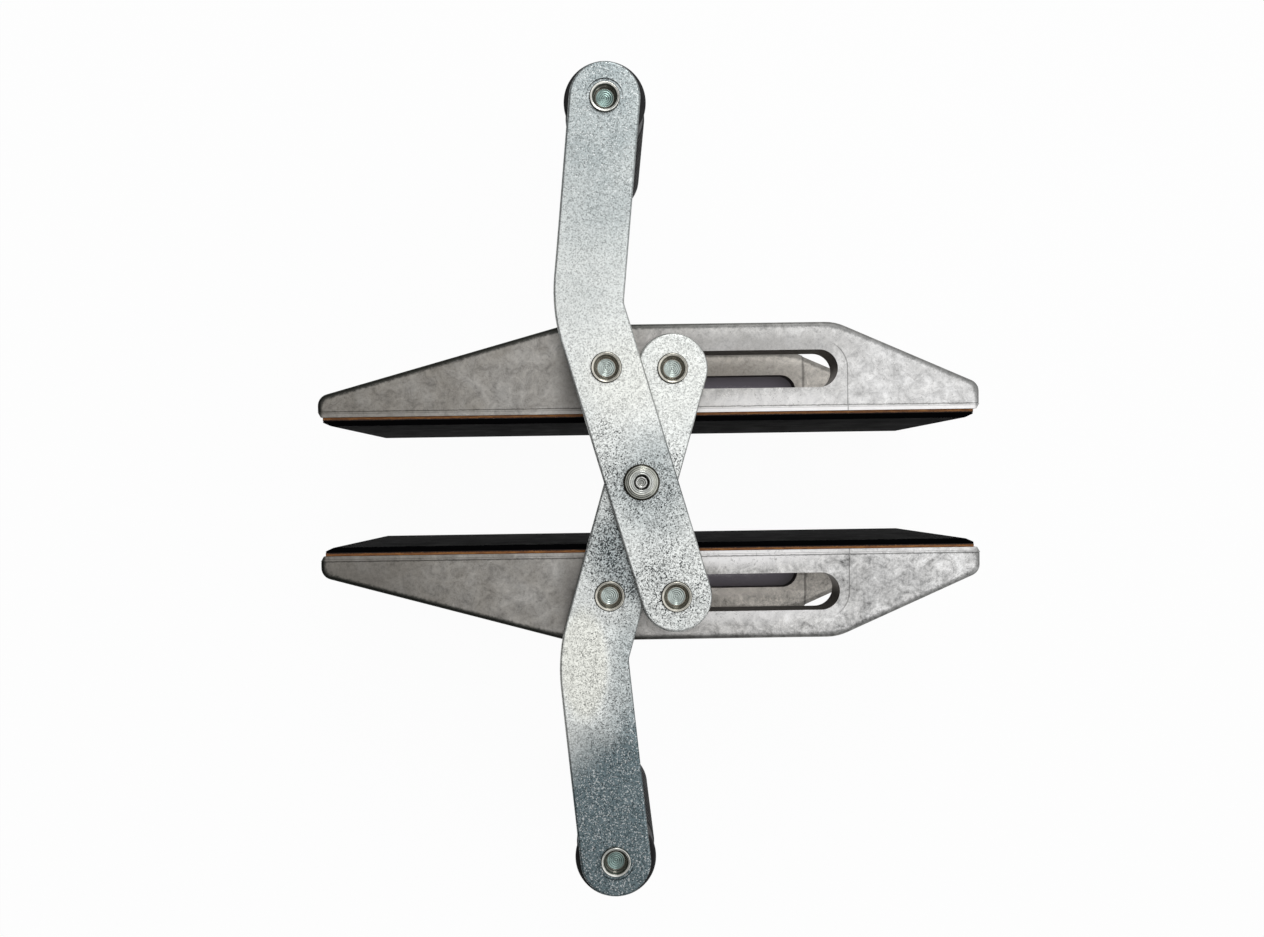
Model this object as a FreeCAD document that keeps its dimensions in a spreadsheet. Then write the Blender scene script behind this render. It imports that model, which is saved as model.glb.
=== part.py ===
# Carry clamp for slabs: two channel jaws with rubber pads, drawn together by a
# pair of crossed arms when the two handles are lifted.
# The part lies on the backs of its jaws. X runs along the jaws, Y across the
# grip gap, Z up along the pivot pins. The origin is the middle of the outline
# on the floor. All sizes are millimetres.

import FreeCAD, Part
import math
import os
import Sketcher

doc = FreeCAD.newDocument("carry_clamp")
sheet = doc.addObject("Spreadsheet::Sheet", "sizes")

SIZES = {
    # grip gap and pads
    "gap_open": 60.0,
    "gap_closed": 0.4,
    "backing_thick": 1.7,
    "rubber_thick": 2.6,
    "pad_side_margin": 1.2,
    "pad_left_inset": 2.6,
    "pad_right_inset": 3.2,
    "pad_bevel_rise": 1.8,
    "pad_bevel_run": 4.0,
    # jaw casting, measured from its pivot
    "tip_left": 143.0,
    "tip_right": 184.8,
    "flat_left": 20.7,
    "flat_right": 113.5,
    "outer_rise": 23.1,
    "base_drop": 20.9,
    "shoulder_left_rise": 10.4,
    "shoulder_right_rise": 12.7,
    "toe_rise": 3.6,
    "toe_inset": 2.0,
    "base_thick": 6.0,
    "lip_rise": 2.6,
    "lip_proud": 0.6,
    "jaw_depth": 115.0,
    "front_wall": 16.3,
    "front_wing_wall": 8.0,
    "rear_wall": 9.0,
    "rear_wing_wall": 7.0,
    "end_wall": 7.0,
    "thick_left": 32.0,
    "thick_right": 118.0,
    "thick_lean": 7.0,
    "rib_thick": 4.0,
    "rib_rise": 7.0,
    "rib_left_start": 60.0,
    "rib_right_start": 143.0,
    "rib_pitch": 34.0,
    "rib_right_pitch": 18.0,
    "corner_round": 24.0,
    "tip_round": 6.0,
    "face_round": 2.0,
    # slot and pins
    "slot_half": 9.3,
    "slot_left": 31.2,
    "slot_right": 105.2,
    "pin_shank": 6.0,
    "pin_fit": 0.05,
    "pin_recess": 0.8,
    "pin_point": 0.8,
    "ring_outer": 7.5,
    "ring_rise": 1.2,
    "ring_edge": 0.5,
    "cup_mouth": 5.7,
    "cup_floor": 4.35,
    "cup_deep": 2.6,
    "cup_cone": 0.8,
    "roller_fit": 0.05,
    "roller_flange_outer": 11.5,
    "roller_flange_thick": 2.0,
    "roller_end_gap": 0.2,
    "side_play": 0.1,
    "clip_outer": 8.3,
    "clip_thick": 1.2,
    "clip_groove_deep": 0.5,
    "clip_mouth": 5.0,
    "inner_washer_outer": 10.5,
    "inner_washer_thick": 1.0,
    # arms
    "open_side": 16.1,
    "arm_half": 17.25,
    "arm_thick": 6.0,
    "bend_at": 88.2,
    "bend_angle": 21.8,
    "handle_reach": 100.8,
    "bend_outer_round": 90.0,
    "bend_inner_round": 7.0,
    "joggle_start": 72.0,
    "joggle_end": 121.0,
    "joggle_round": 25.0,
    "arm_edge_round": 1.3,
    "spacer_outer": 11.0,
    "jaw_washer_thick": 1.5,
    # centre pivot
    "collar_outer": 12.0,
    "collar_thick": 1.0,
    "bush_press": 7.0,
    "bush_journal": 8.0,
    "screw_shank": 5.0,
    "screw_head": 8.75,
    "screw_head_side": 2.0,
    "screw_head_rise": 3.4,
    "screw_head_flat": 6.0,
    "socket_flats": 6.0,
    "socket_deep": 2.6,
    "socket_angle": 10.0,
    "screw_end_gap": 0.3,
    # handles
    "rod_ring_outer": 7.4,
    "rod_recess_outer": 8.9,
    "rod_recess_deep": 0.7,
    "rod_shank": 6.0,
    "rod_outer": 9.0,
    "rod_end_up": 8.0,
    "grip_fit": 0.05,
    "grip_flange_outer": 20.0,
    "grip_flange_thick": 4.0,
    "grip_flange_gap": 0.4,
    "grip_body_outer": 19.2,
    "grip_ring_outer": 20.0,
    "grip_ring_thick": 3.2,
    "grip_ring_pitch": 6.4,
    "grip_ring_start": 12.0,
    "grip_tail_outer": 20.0,
    "grip_tail_thick": 7.0,
    "grip_end_up": 3.0,
    "grip_edge": 1.4,
    # one overrun for all cuts
    "cut_over": 3.0,
}
GRIP_RINGS = 14
LEFT_RIBS = 3
RIGHT_RIBS = 2
HEX_SIDES = 6
FULL_TURN = 360
HALF_TURN = 180

# how close two lengths have to be to count as the same
NEAR = 0.001
# a face counts as broad where this share of its normal points along the pins
BROAD_SHARE = 0.9

for row, (alias, size) in enumerate(SIZES.items(), start=1):
    sheet.set("A%d" % row, alias)
    sheet.set("B%d" % row, str(size))
    sheet.setAlias("B%d" % row, alias)
doc.recompute()

gauge = doc.addObject("App::FeaturePython", "gauge")


def number(formula):
    """The value of a formula written with the sheet's names."""
    result = gauge.evalExpression(formula)
    return float(getattr(result, "Value", result))


# Derived places, as formulas of the named sizes.
PAD_DROP = "(sizes.base_drop + sizes.backing_thick + sizes.rubber_thick)"
RISE = "(sizes.gap_open / 2 + %s)" % PAD_DROP
# An arm's pins stand equally far from the centre screw, open_side along the jaw
# and RISE across it while the clamp is fully open.
SIDE = "sizes.open_side"
REACH = "sqrt(%s * %s + %s * %s)" % (RISE, RISE, SIDE, SIDE)
PIVOT_X = "((sizes.tip_left - sizes.tip_right) / 2)"
CENTRE_X = "(%s + %s)" % (PIVOT_X, SIDE)
SLIDE_X = "(%s + 2 * %s)" % (PIVOT_X, SIDE)
FULL_DEPTH = "(sizes.jaw_depth + sizes.lip_proud)"
FRONT = "sizes.jaw_depth"
FRONT_INNER = "(%s - sizes.front_wall)" % FRONT
REAR_INNER = "sizes.rear_wall"
REAR_ARM_BACK = "(%s + sizes.jaw_washer_thick)" % FRONT
REAR_ARM_FRONT = "(%s + sizes.arm_thick)" % REAR_ARM_BACK
FRONT_ARM_BACK = "(%s + sizes.collar_thick)" % REAR_ARM_FRONT
FRONT_ARM_FRONT = "(%s + sizes.arm_thick)" % FRONT_ARM_BACK
STEP = "((sizes.arm_thick + sizes.collar_thick) / 2)"
HANDLE_BACK = "(%s - %s)" % (FRONT_ARM_BACK, STEP)
HANDLE_FRONT = "(%s + sizes.arm_thick)" % HANDLE_BACK
BASE_TOP = "(sizes.base_thick - sizes.base_drop)"

OPEN_ANGLE = "acos(%s / %s)" % (RISE, REACH)
open_angle = number(OPEN_ANGLE)
closed_rise = "(sizes.gap_closed / 2 + %s)" % PAD_DROP
closed_angle = number("acos(%s / %s)" % (closed_rise, REACH))

BEND = "(sizes.bend_angle * 1 deg)"
HANDLE_U = "(sizes.bend_at + sizes.handle_reach * cos(%s))" % BEND
HANDLE_V = "(sizes.handle_reach * sin(%s))" % BEND

SUB_PARTS = []


def new_body(label):
    """An empty body that will be written out under its label."""
    body = doc.addObject("PartDesign::Body", label)
    body.Label = label
    SUB_PARTS.append(body)
    return body


def place(body, x_at="0", y_at="0", z_at="0"):
    """Put a body at a place given by three formulas."""
    body.setExpression("Placement.Base.x", x_at)
    body.setExpression("Placement.Base.y", y_at)
    body.setExpression("Placement.Base.z", z_at)


def new_sketch(body, name, role, lift="0"):
    """A sketch on one of the body's own origin planes, lifted along its normal."""
    plane = [item for item in body.Origin.OriginFeatures if item.Role == role][0]
    sketch = body.newObject("Sketcher::SketchObject", name)
    sketch.AttachmentSupport = [(plane, "")]
    sketch.MapMode = "FlatFace"
    if lift != "0":
        sketch.setExpression("AttachmentOffset.Base.z", lift)
    return sketch


def pin_down(sketch, geometry, point, x_at, y_at):
    """Tie one sketch point to the origin by two dimensions."""
    for kind, axis, formula in (("DistanceX", -2, x_at), ("DistanceY", -1, y_at)):
        if formula == "0":
            sketch.addConstraint(Sketcher.Constraint("PointOnObject", geometry, point, axis))
        else:
            rule = Sketcher.Constraint(kind, -1, 1, geometry, point, number(formula))
            index = sketch.addConstraint(rule)
            sketch.setExpression("Constraints[%d]" % index, formula)


def draw_polygon(sketch, corners):
    """A closed outline through corners that are pairs of formulas."""
    spots = [FreeCAD.Vector(number(x_at), number(y_at), 0) for x_at, y_at in corners]
    first = sketch.GeometryCount
    count = len(corners)
    for index in range(count):
        line = Part.LineSegment(spots[index], spots[(index + 1) % count])
        sketch.addGeometry(line, False)
    for index in range(count):
        following = first + (index + 1) % count
        sketch.addConstraint(Sketcher.Constraint("Coincident", first + index, 2, following, 1))
    for index, (x_at, y_at) in enumerate(corners):
        pin_down(sketch, first + index, 1, x_at, y_at)


def draw_bent_outline(sketch, corners, bends):
    """A closed outline as draw_polygon makes, with an arc in place of some corners.

    bends gives, by corner index, where the arc starts, where it ends, and its radius."""
    steps = []
    count = len(corners)
    for index in range(count):
        if index in bends:
            arc_from, arc_to, radius = bends[index]
            steps.append((arc_from, radius))
            steps.append((arc_to, None))
        else:
            steps.append((corners[index], None))
    first = sketch.GeometryCount
    total = len(steps)
    spots = [FreeCAD.Vector(number(spot[0]), number(spot[1]), 0) for spot, _ in steps]
    for index, (_, radius) in enumerate(steps):
        begin, end = spots[index], spots[(index + 1) % total]
        if radius is None:
            sketch.addGeometry(Part.LineSegment(begin, end), False)
        else:
            sketch.addGeometry(shallow_arc(begin, end, number(radius)), False)
    for index, (spot, radius) in enumerate(steps):
        geometry = first + index
        following = (index + 1) % total
        start, finish = arc_points(sketch, geometry, spots[index])
        next_start, _ = arc_points(sketch, first + following, spots[following])
        rule = Sketcher.Constraint("Coincident", geometry, finish, first + following, next_start)
        sketch.addConstraint(rule)
        pin_down(sketch, geometry, start, spot[0], spot[1])
        if radius is not None:
            size = "abs(%s)" % radius
            rule = Sketcher.Constraint("Radius", geometry, number(size))
            place_in_list = sketch.addConstraint(rule)
            sketch.setExpression("Constraints[%d]" % place_in_list, size)


def shallow_arc(begin, end, radius):
    """The short arc between two points; a positive radius bulges to the left of the way."""
    chord = end.sub(begin)
    left = FreeCAD.Vector(-chord.y, chord.x, 0).normalize()
    back = (radius * radius - chord.Length * chord.Length / 4) ** 0.5
    if radius > 0:
        first, last = end, begin
        centre = begin.add(end).multiply(0.5).sub(left.multiply(back))
    else:
        first, last = begin, end
        centre = begin.add(end).multiply(0.5).add(left.multiply(back))
    circle = Part.Circle(centre, FreeCAD.Vector(0, 0, 1), abs(radius))
    from_angle = math.atan2(first.y - centre.y, first.x - centre.x)
    to_angle = math.atan2(last.y - centre.y, last.x - centre.x)
    if to_angle < from_angle:
        to_angle += 2 * math.pi
    return Part.ArcOfCircle(circle, from_angle, to_angle)


def arc_points(sketch, geometry, begin):
    """The numbers of a piece's first and last point along the outline's way."""
    piece = sketch.Geometry[geometry]
    if piece.StartPoint.distanceToPoint(begin) < NEAR:
        return 1, 2
    return 2, 1


def draw_circle(sketch, x_at, y_at, radius):
    """A circle whose centre and radius are formulas."""
    centre = FreeCAD.Vector(number(x_at), number(y_at), 0)
    circle = Part.Circle(centre, FreeCAD.Vector(0, 0, 1), number(radius))
    geometry = sketch.addGeometry(circle, False)
    pin_down(sketch, geometry, 3, x_at, y_at)
    rule = Sketcher.Constraint("Radius", geometry, number(radius))
    index = sketch.addConstraint(rule)
    sketch.setExpression("Constraints[%d]" % index, radius)


def add_feature(body, kind, name):
    """A solid feature that becomes the body's tip."""
    feature = body.newObject(kind, name)
    body.Tip = feature
    return feature


def pad(body, sketch, length, name):
    """Material from the sketch along its normal."""
    feature = add_feature(body, "PartDesign::Pad", name)
    feature.Profile = sketch
    feature.setExpression("Length", length)
    doc.recompute()
    return feature


def pocket(body, sketch, length, name, both_ways=False):
    """A cut from the sketch against its normal, and it has to remove material."""
    doc.recompute()
    before = body.Shape.Volume
    feature = add_feature(body, "PartDesign::Pocket", name)
    feature.Profile = sketch
    feature.setExpression("Length", length)
    feature.Midplane = both_ways
    doc.recompute()
    if not feature.Shape.Volume < before:
        raise RuntimeError("%s cuts nothing" % name)
    return feature


def round_edges(body, chosen, radius, name):
    """A fillet on the edges of the body that the test picks."""
    doc.recompute()
    base = body.Tip
    names = ["Edge%d" % (index + 1) for index, edge in enumerate(base.Shape.Edges)
             if chosen(edge)]
    feature = add_feature(body, "PartDesign::Fillet", name)
    feature.Base = (base, names)
    feature.setExpression("Radius", radius)
    doc.recompute()
    return feature


def turned(label, profile, x_at, y_at):
    """A turned piece: a half outline of (radius, height) pairs round the pin axis."""
    body = new_body(label)
    sketch = new_sketch(body, label + "_profile", "XZ_Plane")
    draw_polygon(sketch, profile)
    feature = add_feature(body, "PartDesign::Revolution", label + "_turning")
    feature.Profile = sketch
    feature.ReferenceAxis = (sketch, ["V_Axis"])
    place(body, x_at, y_at)
    doc.recompute()
    return body


def near(first, second):
    """True where two lengths agree."""
    return abs(first - second) < NEAR


def is_upright(edge, x_at, y_at):
    """True for an edge along Z that stands at the given point of the body."""
    box = edge.BoundBox
    return (near(box.XMin, x_at) and near(box.XMax, x_at)
            and near(box.YMin, y_at) and near(box.YMax, y_at))


# Jaw casting

def jaw_outline():
    """The tapered side outline of the jaw, from the lower left corner on."""
    left = "-sizes.tip_left"
    return [
        ("(%s + sizes.toe_inset)" % left, "-sizes.base_drop"),
        ("(sizes.tip_right - sizes.toe_inset)", "-sizes.base_drop"),
        ("sizes.tip_right", "(sizes.toe_rise - sizes.base_drop)"),
        ("sizes.tip_right", "(sizes.shoulder_right_rise - sizes.base_drop)"),
        ("sizes.flat_right", "sizes.outer_rise"),
        ("-sizes.flat_left", "sizes.outer_rise"),
        (left, "(sizes.shoulder_left_rise - sizes.base_drop)"),
        (left, "(sizes.toe_rise - sizes.base_drop)"),
    ]


def box_corners(left, right, low, high):
    """The four corners of an upright rectangle."""
    return [(left, low), (right, low), (right, high), (left, high)]


def make_casting(label):
    """A channel open on its outer side, with a slot in each wall and ribs inside."""
    body = new_body(label)
    outline = jaw_outline()
    walls = new_sketch(body, label + "_outline", "XY_Plane")
    draw_polygon(walls, outline)
    pad(body, walls, "sizes.jaw_depth", label + "_block")

    rounds = (
        (outline[3], "sizes.tip_round"),
        (outline[6], "sizes.tip_round"),
        (outline[4], "sizes.corner_round"),
        (outline[5], "sizes.corner_round"),
    )
    for index, ((x_at, y_at), radius) in enumerate(rounds):
        x_spot, y_spot = number(x_at), number(y_at)
        round_edges(body, lambda edge: is_upright(edge, x_spot, y_spot), radius,
                    "%s_corner_%d" % (label, index))

    low = "-sizes.base_drop"
    lip_top = "(sizes.lip_rise - sizes.base_drop)"
    spread = "(sizes.toe_inset - sizes.toe_inset * sizes.lip_rise / sizes.toe_rise)"
    foot = new_sketch(body, label + "_foot", "XY_Plane")
    draw_polygon(foot, [
        ("(sizes.toe_inset - sizes.tip_left)", low),
        ("(sizes.tip_right - sizes.toe_inset)", low),
        ("(sizes.tip_right - %s)" % spread, lip_top),
        ("(%s - sizes.tip_left)" % spread, lip_top),
    ])
    pad(body, foot, FULL_DEPTH, label + "_foot_strip")

    # The channel between the thick walls, then the wings where both walls are thinner.
    sky = "(sizes.outer_rise + sizes.cut_over)"
    left_end = "(sizes.end_wall - sizes.tip_left)"
    right_end = "(sizes.tip_right - sizes.end_wall)"
    channel = new_sketch(body, label + "_channel", "XY_Plane", FRONT_INNER)
    draw_polygon(channel, box_corners(left_end, right_end, BASE_TOP, sky))
    pocket(body, channel, "(%s - %s)" % (FRONT_INNER, REAR_INNER), label + "_channel_cut")
    wing_top = "(%s - sizes.front_wing_wall)" % FRONT
    wing_low = "sizes.rear_wing_wall"
    lean = "sizes.thick_lean"
    wings = new_sketch(body, label + "_wings", "XY_Plane", wing_top)
    draw_polygon(wings, [
        (left_end, BASE_TOP),
        ("(-sizes.thick_left - %s)" % lean, BASE_TOP),
        ("-sizes.thick_left", sky),
        (left_end, sky),
    ])
    draw_polygon(wings, [
        ("(sizes.thick_right + %s)" % lean, BASE_TOP),
        (right_end, BASE_TOP),
        (right_end, sky),
        ("sizes.thick_right", sky),
    ])
    pocket(body, wings, "(%s - %s)" % (wing_top, wing_low), label + "_wing_cut")

    # Low cross ribs on the base of each wing.
    ribs = new_sketch(body, label + "_ribs", "XY_Plane")
    rib_low = "(%s - sizes.base_thick / 2)" % BASE_TOP
    rib_high = "(%s + sizes.rib_rise)" % BASE_TOP
    places = ["(-sizes.rib_left_start - %d * sizes.rib_pitch)" % index
              for index in range(LEFT_RIBS)]
    places += ["(sizes.rib_right_start + %d * sizes.rib_right_pitch)" % index
               for index in range(RIGHT_RIBS)]
    for middle in places:
        edges = box_corners("(%s - sizes.rib_thick / 2)" % middle,
                            "(%s + sizes.rib_thick / 2)" % middle, rib_low, rib_high)
        draw_polygon(ribs, edges)
    pad(body, ribs, "sizes.jaw_depth", label + "_rib_set")

    top = "(%s + sizes.cut_over)" % FULL_DEPTH
    through = "(%s + 2 * sizes.cut_over)" % FULL_DEPTH
    slot = new_sketch(body, label + "_slot", "XY_Plane", top)
    draw_polygon(slot, box_corners("sizes.slot_left", "sizes.slot_right",
                                   "-sizes.slot_half", "sizes.slot_half"))
    pocket(body, slot, through, label + "_slot_cut")
    ends = new_sketch(body, label + "_slot_ends", "XY_Plane", top)
    draw_circle(ends, "sizes.slot_left", "0", "sizes.slot_half")
    draw_circle(ends, "sizes.slot_right", "0", "sizes.slot_half")
    pocket(body, ends, through, label + "_slot_end_cut")
    bore = new_sketch(body, label + "_bore", "XY_Plane", top)
    draw_circle(bore, "0", "0", "(sizes.pin_shank + sizes.pin_fit)")
    pocket(body, bore, through, label + "_bore_cut")

    # The rim of the front wall is slightly rounded above the lip.
    front = number(FRONT)
    rim_low = number(lip_top)
    half = number("sizes.slot_half")
    round_edges(body, lambda edge: is_rim(edge, front, rim_low, half), "sizes.face_round",
                label + "_rim")
    place(body, PIVOT_X, RISE)
    doc.recompute()
    return body


def is_rim(edge, height, low, half):
    """True for an edge of the wall's outer rim at the given height."""
    box = edge.BoundBox
    level = near(box.ZMin, height) and near(box.ZMax, height)
    outside = box.YMin > low + NEAR and not (box.YMin > -half - NEAR and box.YMax < half + NEAR
                                             and box.XMin > -half and box.XMax
                                             < number("sizes.flat_right") + half)
    return level and outside


def mirrored(source, label):
    """The same piece on the other side of the grip gap."""
    copy = doc.addObject("Part::Mirroring", label)
    copy.Label = label
    copy.Source = source
    copy.Normal = FreeCAD.Vector(0, 1, 0)
    SUB_PARTS.append(copy)
    doc.recompute()
    return copy


def make_pad_layer(label, drop, thick, bevel):
    """One layer of the jaw's facing, a long plate along the whole jaw."""
    body = new_body(label)
    left = "(sizes.pad_left_inset - sizes.tip_left)"
    right = "(sizes.tip_right - sizes.pad_right_inset)"
    top = "-%s" % drop
    low = "(-%s - %s)" % (drop, thick)
    if bevel:
        knee = "(%s + sizes.pad_bevel_rise)" % low
        corners = [
            ("(%s + sizes.pad_bevel_run)" % left, low),
            ("(%s - sizes.pad_bevel_run)" % right, low),
            (right, knee),
            (right, top),
            (left, top),
            (left, knee),
        ]
    else:
        corners = box_corners(left, right, low, top)
    sketch = new_sketch(body, label + "_outline", "XY_Plane", "sizes.pad_side_margin")
    draw_polygon(sketch, corners)
    pad(body, sketch, "(%s - 2 * sizes.pad_side_margin)" % FULL_DEPTH, label + "_plate")
    place(body, PIVOT_X, RISE)
    doc.recompute()
    return body


upper_casting = make_casting("upper_jaw_casting")
lower_casting = mirrored(upper_casting, "lower_jaw_casting")
upper_backing = make_pad_layer("upper_pad_backing", "sizes.base_drop",
                               "sizes.backing_thick", False)
lower_backing = mirrored(upper_backing, "lower_pad_backing")
upper_rubber = make_pad_layer("upper_rubber_pad",
                              "(sizes.base_drop + sizes.backing_thick)",
                              "sizes.rubber_thick", True)
lower_rubber = mirrored(upper_rubber, "lower_rubber_pad")


# Arms. In an arm's own frame the centre pivot is the origin, Y points to the
# fixed pivot and the handle bends towards X.

def make_arm(label, centre_hole):
    """A flat bar, bent in plan past the fixed pivot, with a small step in height."""
    body = new_body(label)
    half = "sizes.arm_half"
    reach = REACH
    knee = "(%s * tan(%s / 2))" % (half, BEND)
    back = "-%s" % STEP
    over = "sizes.cut_over"
    outline = [
        (half, "-" + reach),
        (half, "(sizes.bend_at - %s)" % knee),
        ("(%s + %s * cos(%s))" % (HANDLE_V, half, BEND),
         "(%s - %s * sin(%s))" % (HANDLE_U, half, BEND)),
        ("(%s - %s * cos(%s))" % (HANDLE_V, half, BEND),
         "(%s + %s * sin(%s))" % (HANDLE_U, half, BEND)),
        ("-" + half, "(sizes.bend_at + %s)" % knee),
        ("-" + half, "-" + reach),
    ]
    blank_thick = "(sizes.arm_thick + %s)" % STEP
    blank = new_sketch(body, label + "_outline", "XY_Plane", back)
    draw_polygon(blank, outline)
    pad(body, blank, blank_thick, label + "_blank")
    for corner, radius in ((1, "sizes.bend_inner_round"), (4, "sizes.bend_outer_round")):
        x_spot, y_spot = number(outline[corner][0]), number(outline[corner][1])
        round_edges(body, lambda edge: is_upright(edge, x_spot, y_spot), radius,
                    "%s_bend_%d" % (label, corner))
    ends = new_sketch(body, label + "_ends", "XY_Plane", back)
    draw_circle(ends, "0", "-" + reach, half)
    draw_circle(ends, HANDLE_V, HANDLE_U, half)
    pad(body, ends, blank_thick, label + "_round_ends")

    # The bar steps back by half the pitch of the two arms past the fixed pivot,
    # along a gentle slope between two large bends.
    far = "(%s + 2 * %s)" % (HANDLE_U, half)
    across = "(4 * sizes.handle_reach)"
    thick = "sizes.arm_thick"
    start = "sizes.joggle_start"
    end = "sizes.joggle_end"
    slope = "atan(%s / (%s - %s))" % (STEP, end, start)
    bend = "sizes.joggle_round"
    run = "(%s * tan(%s / 2))" % (bend, slope)

    def bend_down(level):
        """The first bend at a level, from flat to falling."""
        return (("(%s - %s)" % (start, run), level),
                ("(%s + %s * cos(%s))" % (start, run, slope),
                 "(%s - %s * sin(%s))" % (level, run, slope)), bend)

    def bend_up(level):
        """The second bend, from falling to flat at a level."""
        return (("(%s - %s * cos(%s))" % (end, run, slope),
                 "(%s + %s * sin(%s))" % (level, run, slope)),
                ("(%s + %s)" % (end, run), level), "-" + bend)

    low_top = "(%s - %s)" % (thick, STEP)
    above = new_sketch(body, label + "_above", "YZ_Plane")
    near_side = "-" + far
    draw_bent_outline(above, [
        (near_side, thick),
        (start, thick),
        (end, low_top),
        (far, low_top),
        (far, "(%s + %s)" % (thick, over)),
        (near_side, "(%s + %s)" % (thick, over)),
    ], {1: bend_down(thick), 2: bend_up(low_top)})
    pocket(body, above, across, label + "_above_cut", True)
    below = new_sketch(body, label + "_below", "YZ_Plane")
    draw_bent_outline(below, [
        (near_side, "0"),
        (start, "0"),
        (end, back),
        (far, back),
        (far, "(%s - %s)" % (back, over)),
        (near_side, "(%s - %s)" % (back, over)),
    ], {1: bend_down("0"), 2: bend_up(back)})
    pocket(body, below, across, label + "_below_cut", True)
    rim = rim_hashes(body.Tip.Shape)
    round_edges(body, lambda edge: edge.hashCode() in rim, "sizes.arm_edge_round",
                label + "_edges")

    top = "(%s + %s)" % (thick, over)
    through = "(%s + 2 * %s)" % (blank_thick, over)
    holes = new_sketch(body, label + "_holes", "XY_Plane", top)
    for spot in (reach, "-" + reach):
        draw_circle(holes, "0", spot, "(sizes.pin_shank + sizes.pin_fit)")
    draw_circle(holes, "0", "0", centre_hole)
    draw_circle(holes, HANDLE_V, HANDLE_U, "(sizes.rod_shank + sizes.pin_fit)")
    pocket(body, holes, through, label + "_hole_cut")
    for name, level in (("front", "(%s - %s + sizes.cut_over)" % (thick, STEP)),
                        ("back", "(%s + sizes.rod_recess_deep)" % back)):
        recess = new_sketch(body, "%s_%s_recess" % (label, name), "XY_Plane", level)
        draw_circle(recess, HANDLE_V, HANDLE_U, "sizes.rod_recess_outer")
        pocket(body, recess, "(sizes.cut_over + sizes.rod_recess_deep)",
               "%s_%s_recess_cut" % (label, name))
    return body


def rim_hashes(shape):
    """The edges between the bar's two broad sides and its narrow ones."""
    broad = [face for face in shape.Faces
             if abs(face.normalAt(*middle_of(face)).z) > BROAD_SHARE]
    counts = {}
    for face in broad:
        for edge in face.Edges:
            counts[edge.hashCode()] = counts.get(edge.hashCode(), 0) + 1
    return {key for key, count in counts.items() if count == 1}


def middle_of(face):
    """The middle of a face's own parameter range."""
    low_u, high_u, low_v, high_v = face.ParameterRange
    return (low_u + high_u) / 2, (low_v + high_v) / 2


front_arm = make_arm("front_arm", "(sizes.bush_journal + sizes.pin_fit)")
rear_arm = make_arm("rear_arm", "sizes.bush_press")
Z_AXIS = FreeCAD.Vector(0, 0, 1)
X_AXIS = FreeCAD.Vector(1, 0, 0)
swing = FreeCAD.Rotation(Z_AXIS, open_angle)
front_arm.Placement = FreeCAD.Placement(FreeCAD.Vector(), swing)
turned_over = FreeCAD.Rotation(X_AXIS, HALF_TURN).multiply(swing)
rear_arm.Placement = FreeCAD.Placement(FreeCAD.Vector(), turned_over)
place(front_arm, CENTRE_X, "0", FRONT_ARM_BACK)
place(rear_arm, CENTRE_X, "0", REAR_ARM_FRONT)
doc.recompute()


# Pins, each riveted into its arm with a rolled ring round a drilled cup.

def pin_head(top, ring, shank):
    """The head's outline, from the shank up over the ring and down into the cup."""
    return [
        (shank, top),
        (ring, top),
        (ring, "(%s + sizes.ring_rise - sizes.ring_edge)" % top),
        ("(%s - sizes.ring_edge)" % ring, "(%s + sizes.ring_rise)" % top),
        ("(sizes.cup_mouth + sizes.ring_edge)", "(%s + sizes.ring_rise)" % top),
        ("sizes.cup_mouth", "(%s + sizes.ring_rise - sizes.ring_edge)" % top),
        ("sizes.cup_floor", "(%s + sizes.ring_rise - sizes.cup_deep)" % top),
        ("0", "(%s + sizes.ring_rise - sizes.cup_deep - sizes.cup_cone)" % top),
    ]


def groove(clip_low):
    """The clip's groove in a pin, from its lower edge up."""
    inner = "(sizes.pin_shank - sizes.clip_groove_deep)"
    clip_high = "(%s + sizes.clip_thick)" % clip_low
    return [
        ("sizes.pin_shank", clip_low),
        (inner, clip_low),
        (inner, clip_high),
        ("sizes.pin_shank", clip_high),
    ]


def make_pin(label, x_at, y_at, top, clips):
    """A long pin through both walls of a jaw, grooved for its clips."""
    low = "sizes.pin_recess"
    profile = [
        ("0", low),
        ("(sizes.pin_shank - sizes.pin_point)", low),
        ("sizes.pin_shank", "(%s + sizes.pin_point)" % low),
    ]
    for clip_low in clips:
        profile += groove(clip_low)
    profile += pin_head(top, "sizes.ring_outer", "sizes.pin_shank")
    return turned(label, profile, x_at, y_at)


def make_ring(label, inner, outer, low, thick, x_at, y_at):
    """A plain round washer or spacer."""
    high = "(%s + %s)" % (low, thick)
    return turned(label, [(inner, low), (outer, low), (outer, high), (inner, high)], x_at, y_at)


def make_clip(label, low, x_at, y_at):
    """A spring clip in a pin's groove, open on one side."""
    inner = "(sizes.pin_shank - sizes.clip_groove_deep + sizes.pin_fit)"
    body = make_ring(label, inner, "sizes.clip_outer", low, "sizes.clip_thick", x_at, y_at)
    mouth = new_sketch(body, label + "_mouth", "XY_Plane",
                       "(%s + sizes.clip_thick + sizes.cut_over)" % low)
    draw_polygon(mouth, box_corners("-sizes.clip_mouth / 2", "sizes.clip_mouth / 2",
                                    "0", "(sizes.clip_outer + sizes.cut_over)"))
    pocket(body, mouth, "(sizes.clip_thick + 2 * sizes.cut_over)", label + "_mouth_cut")
    return body


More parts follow.
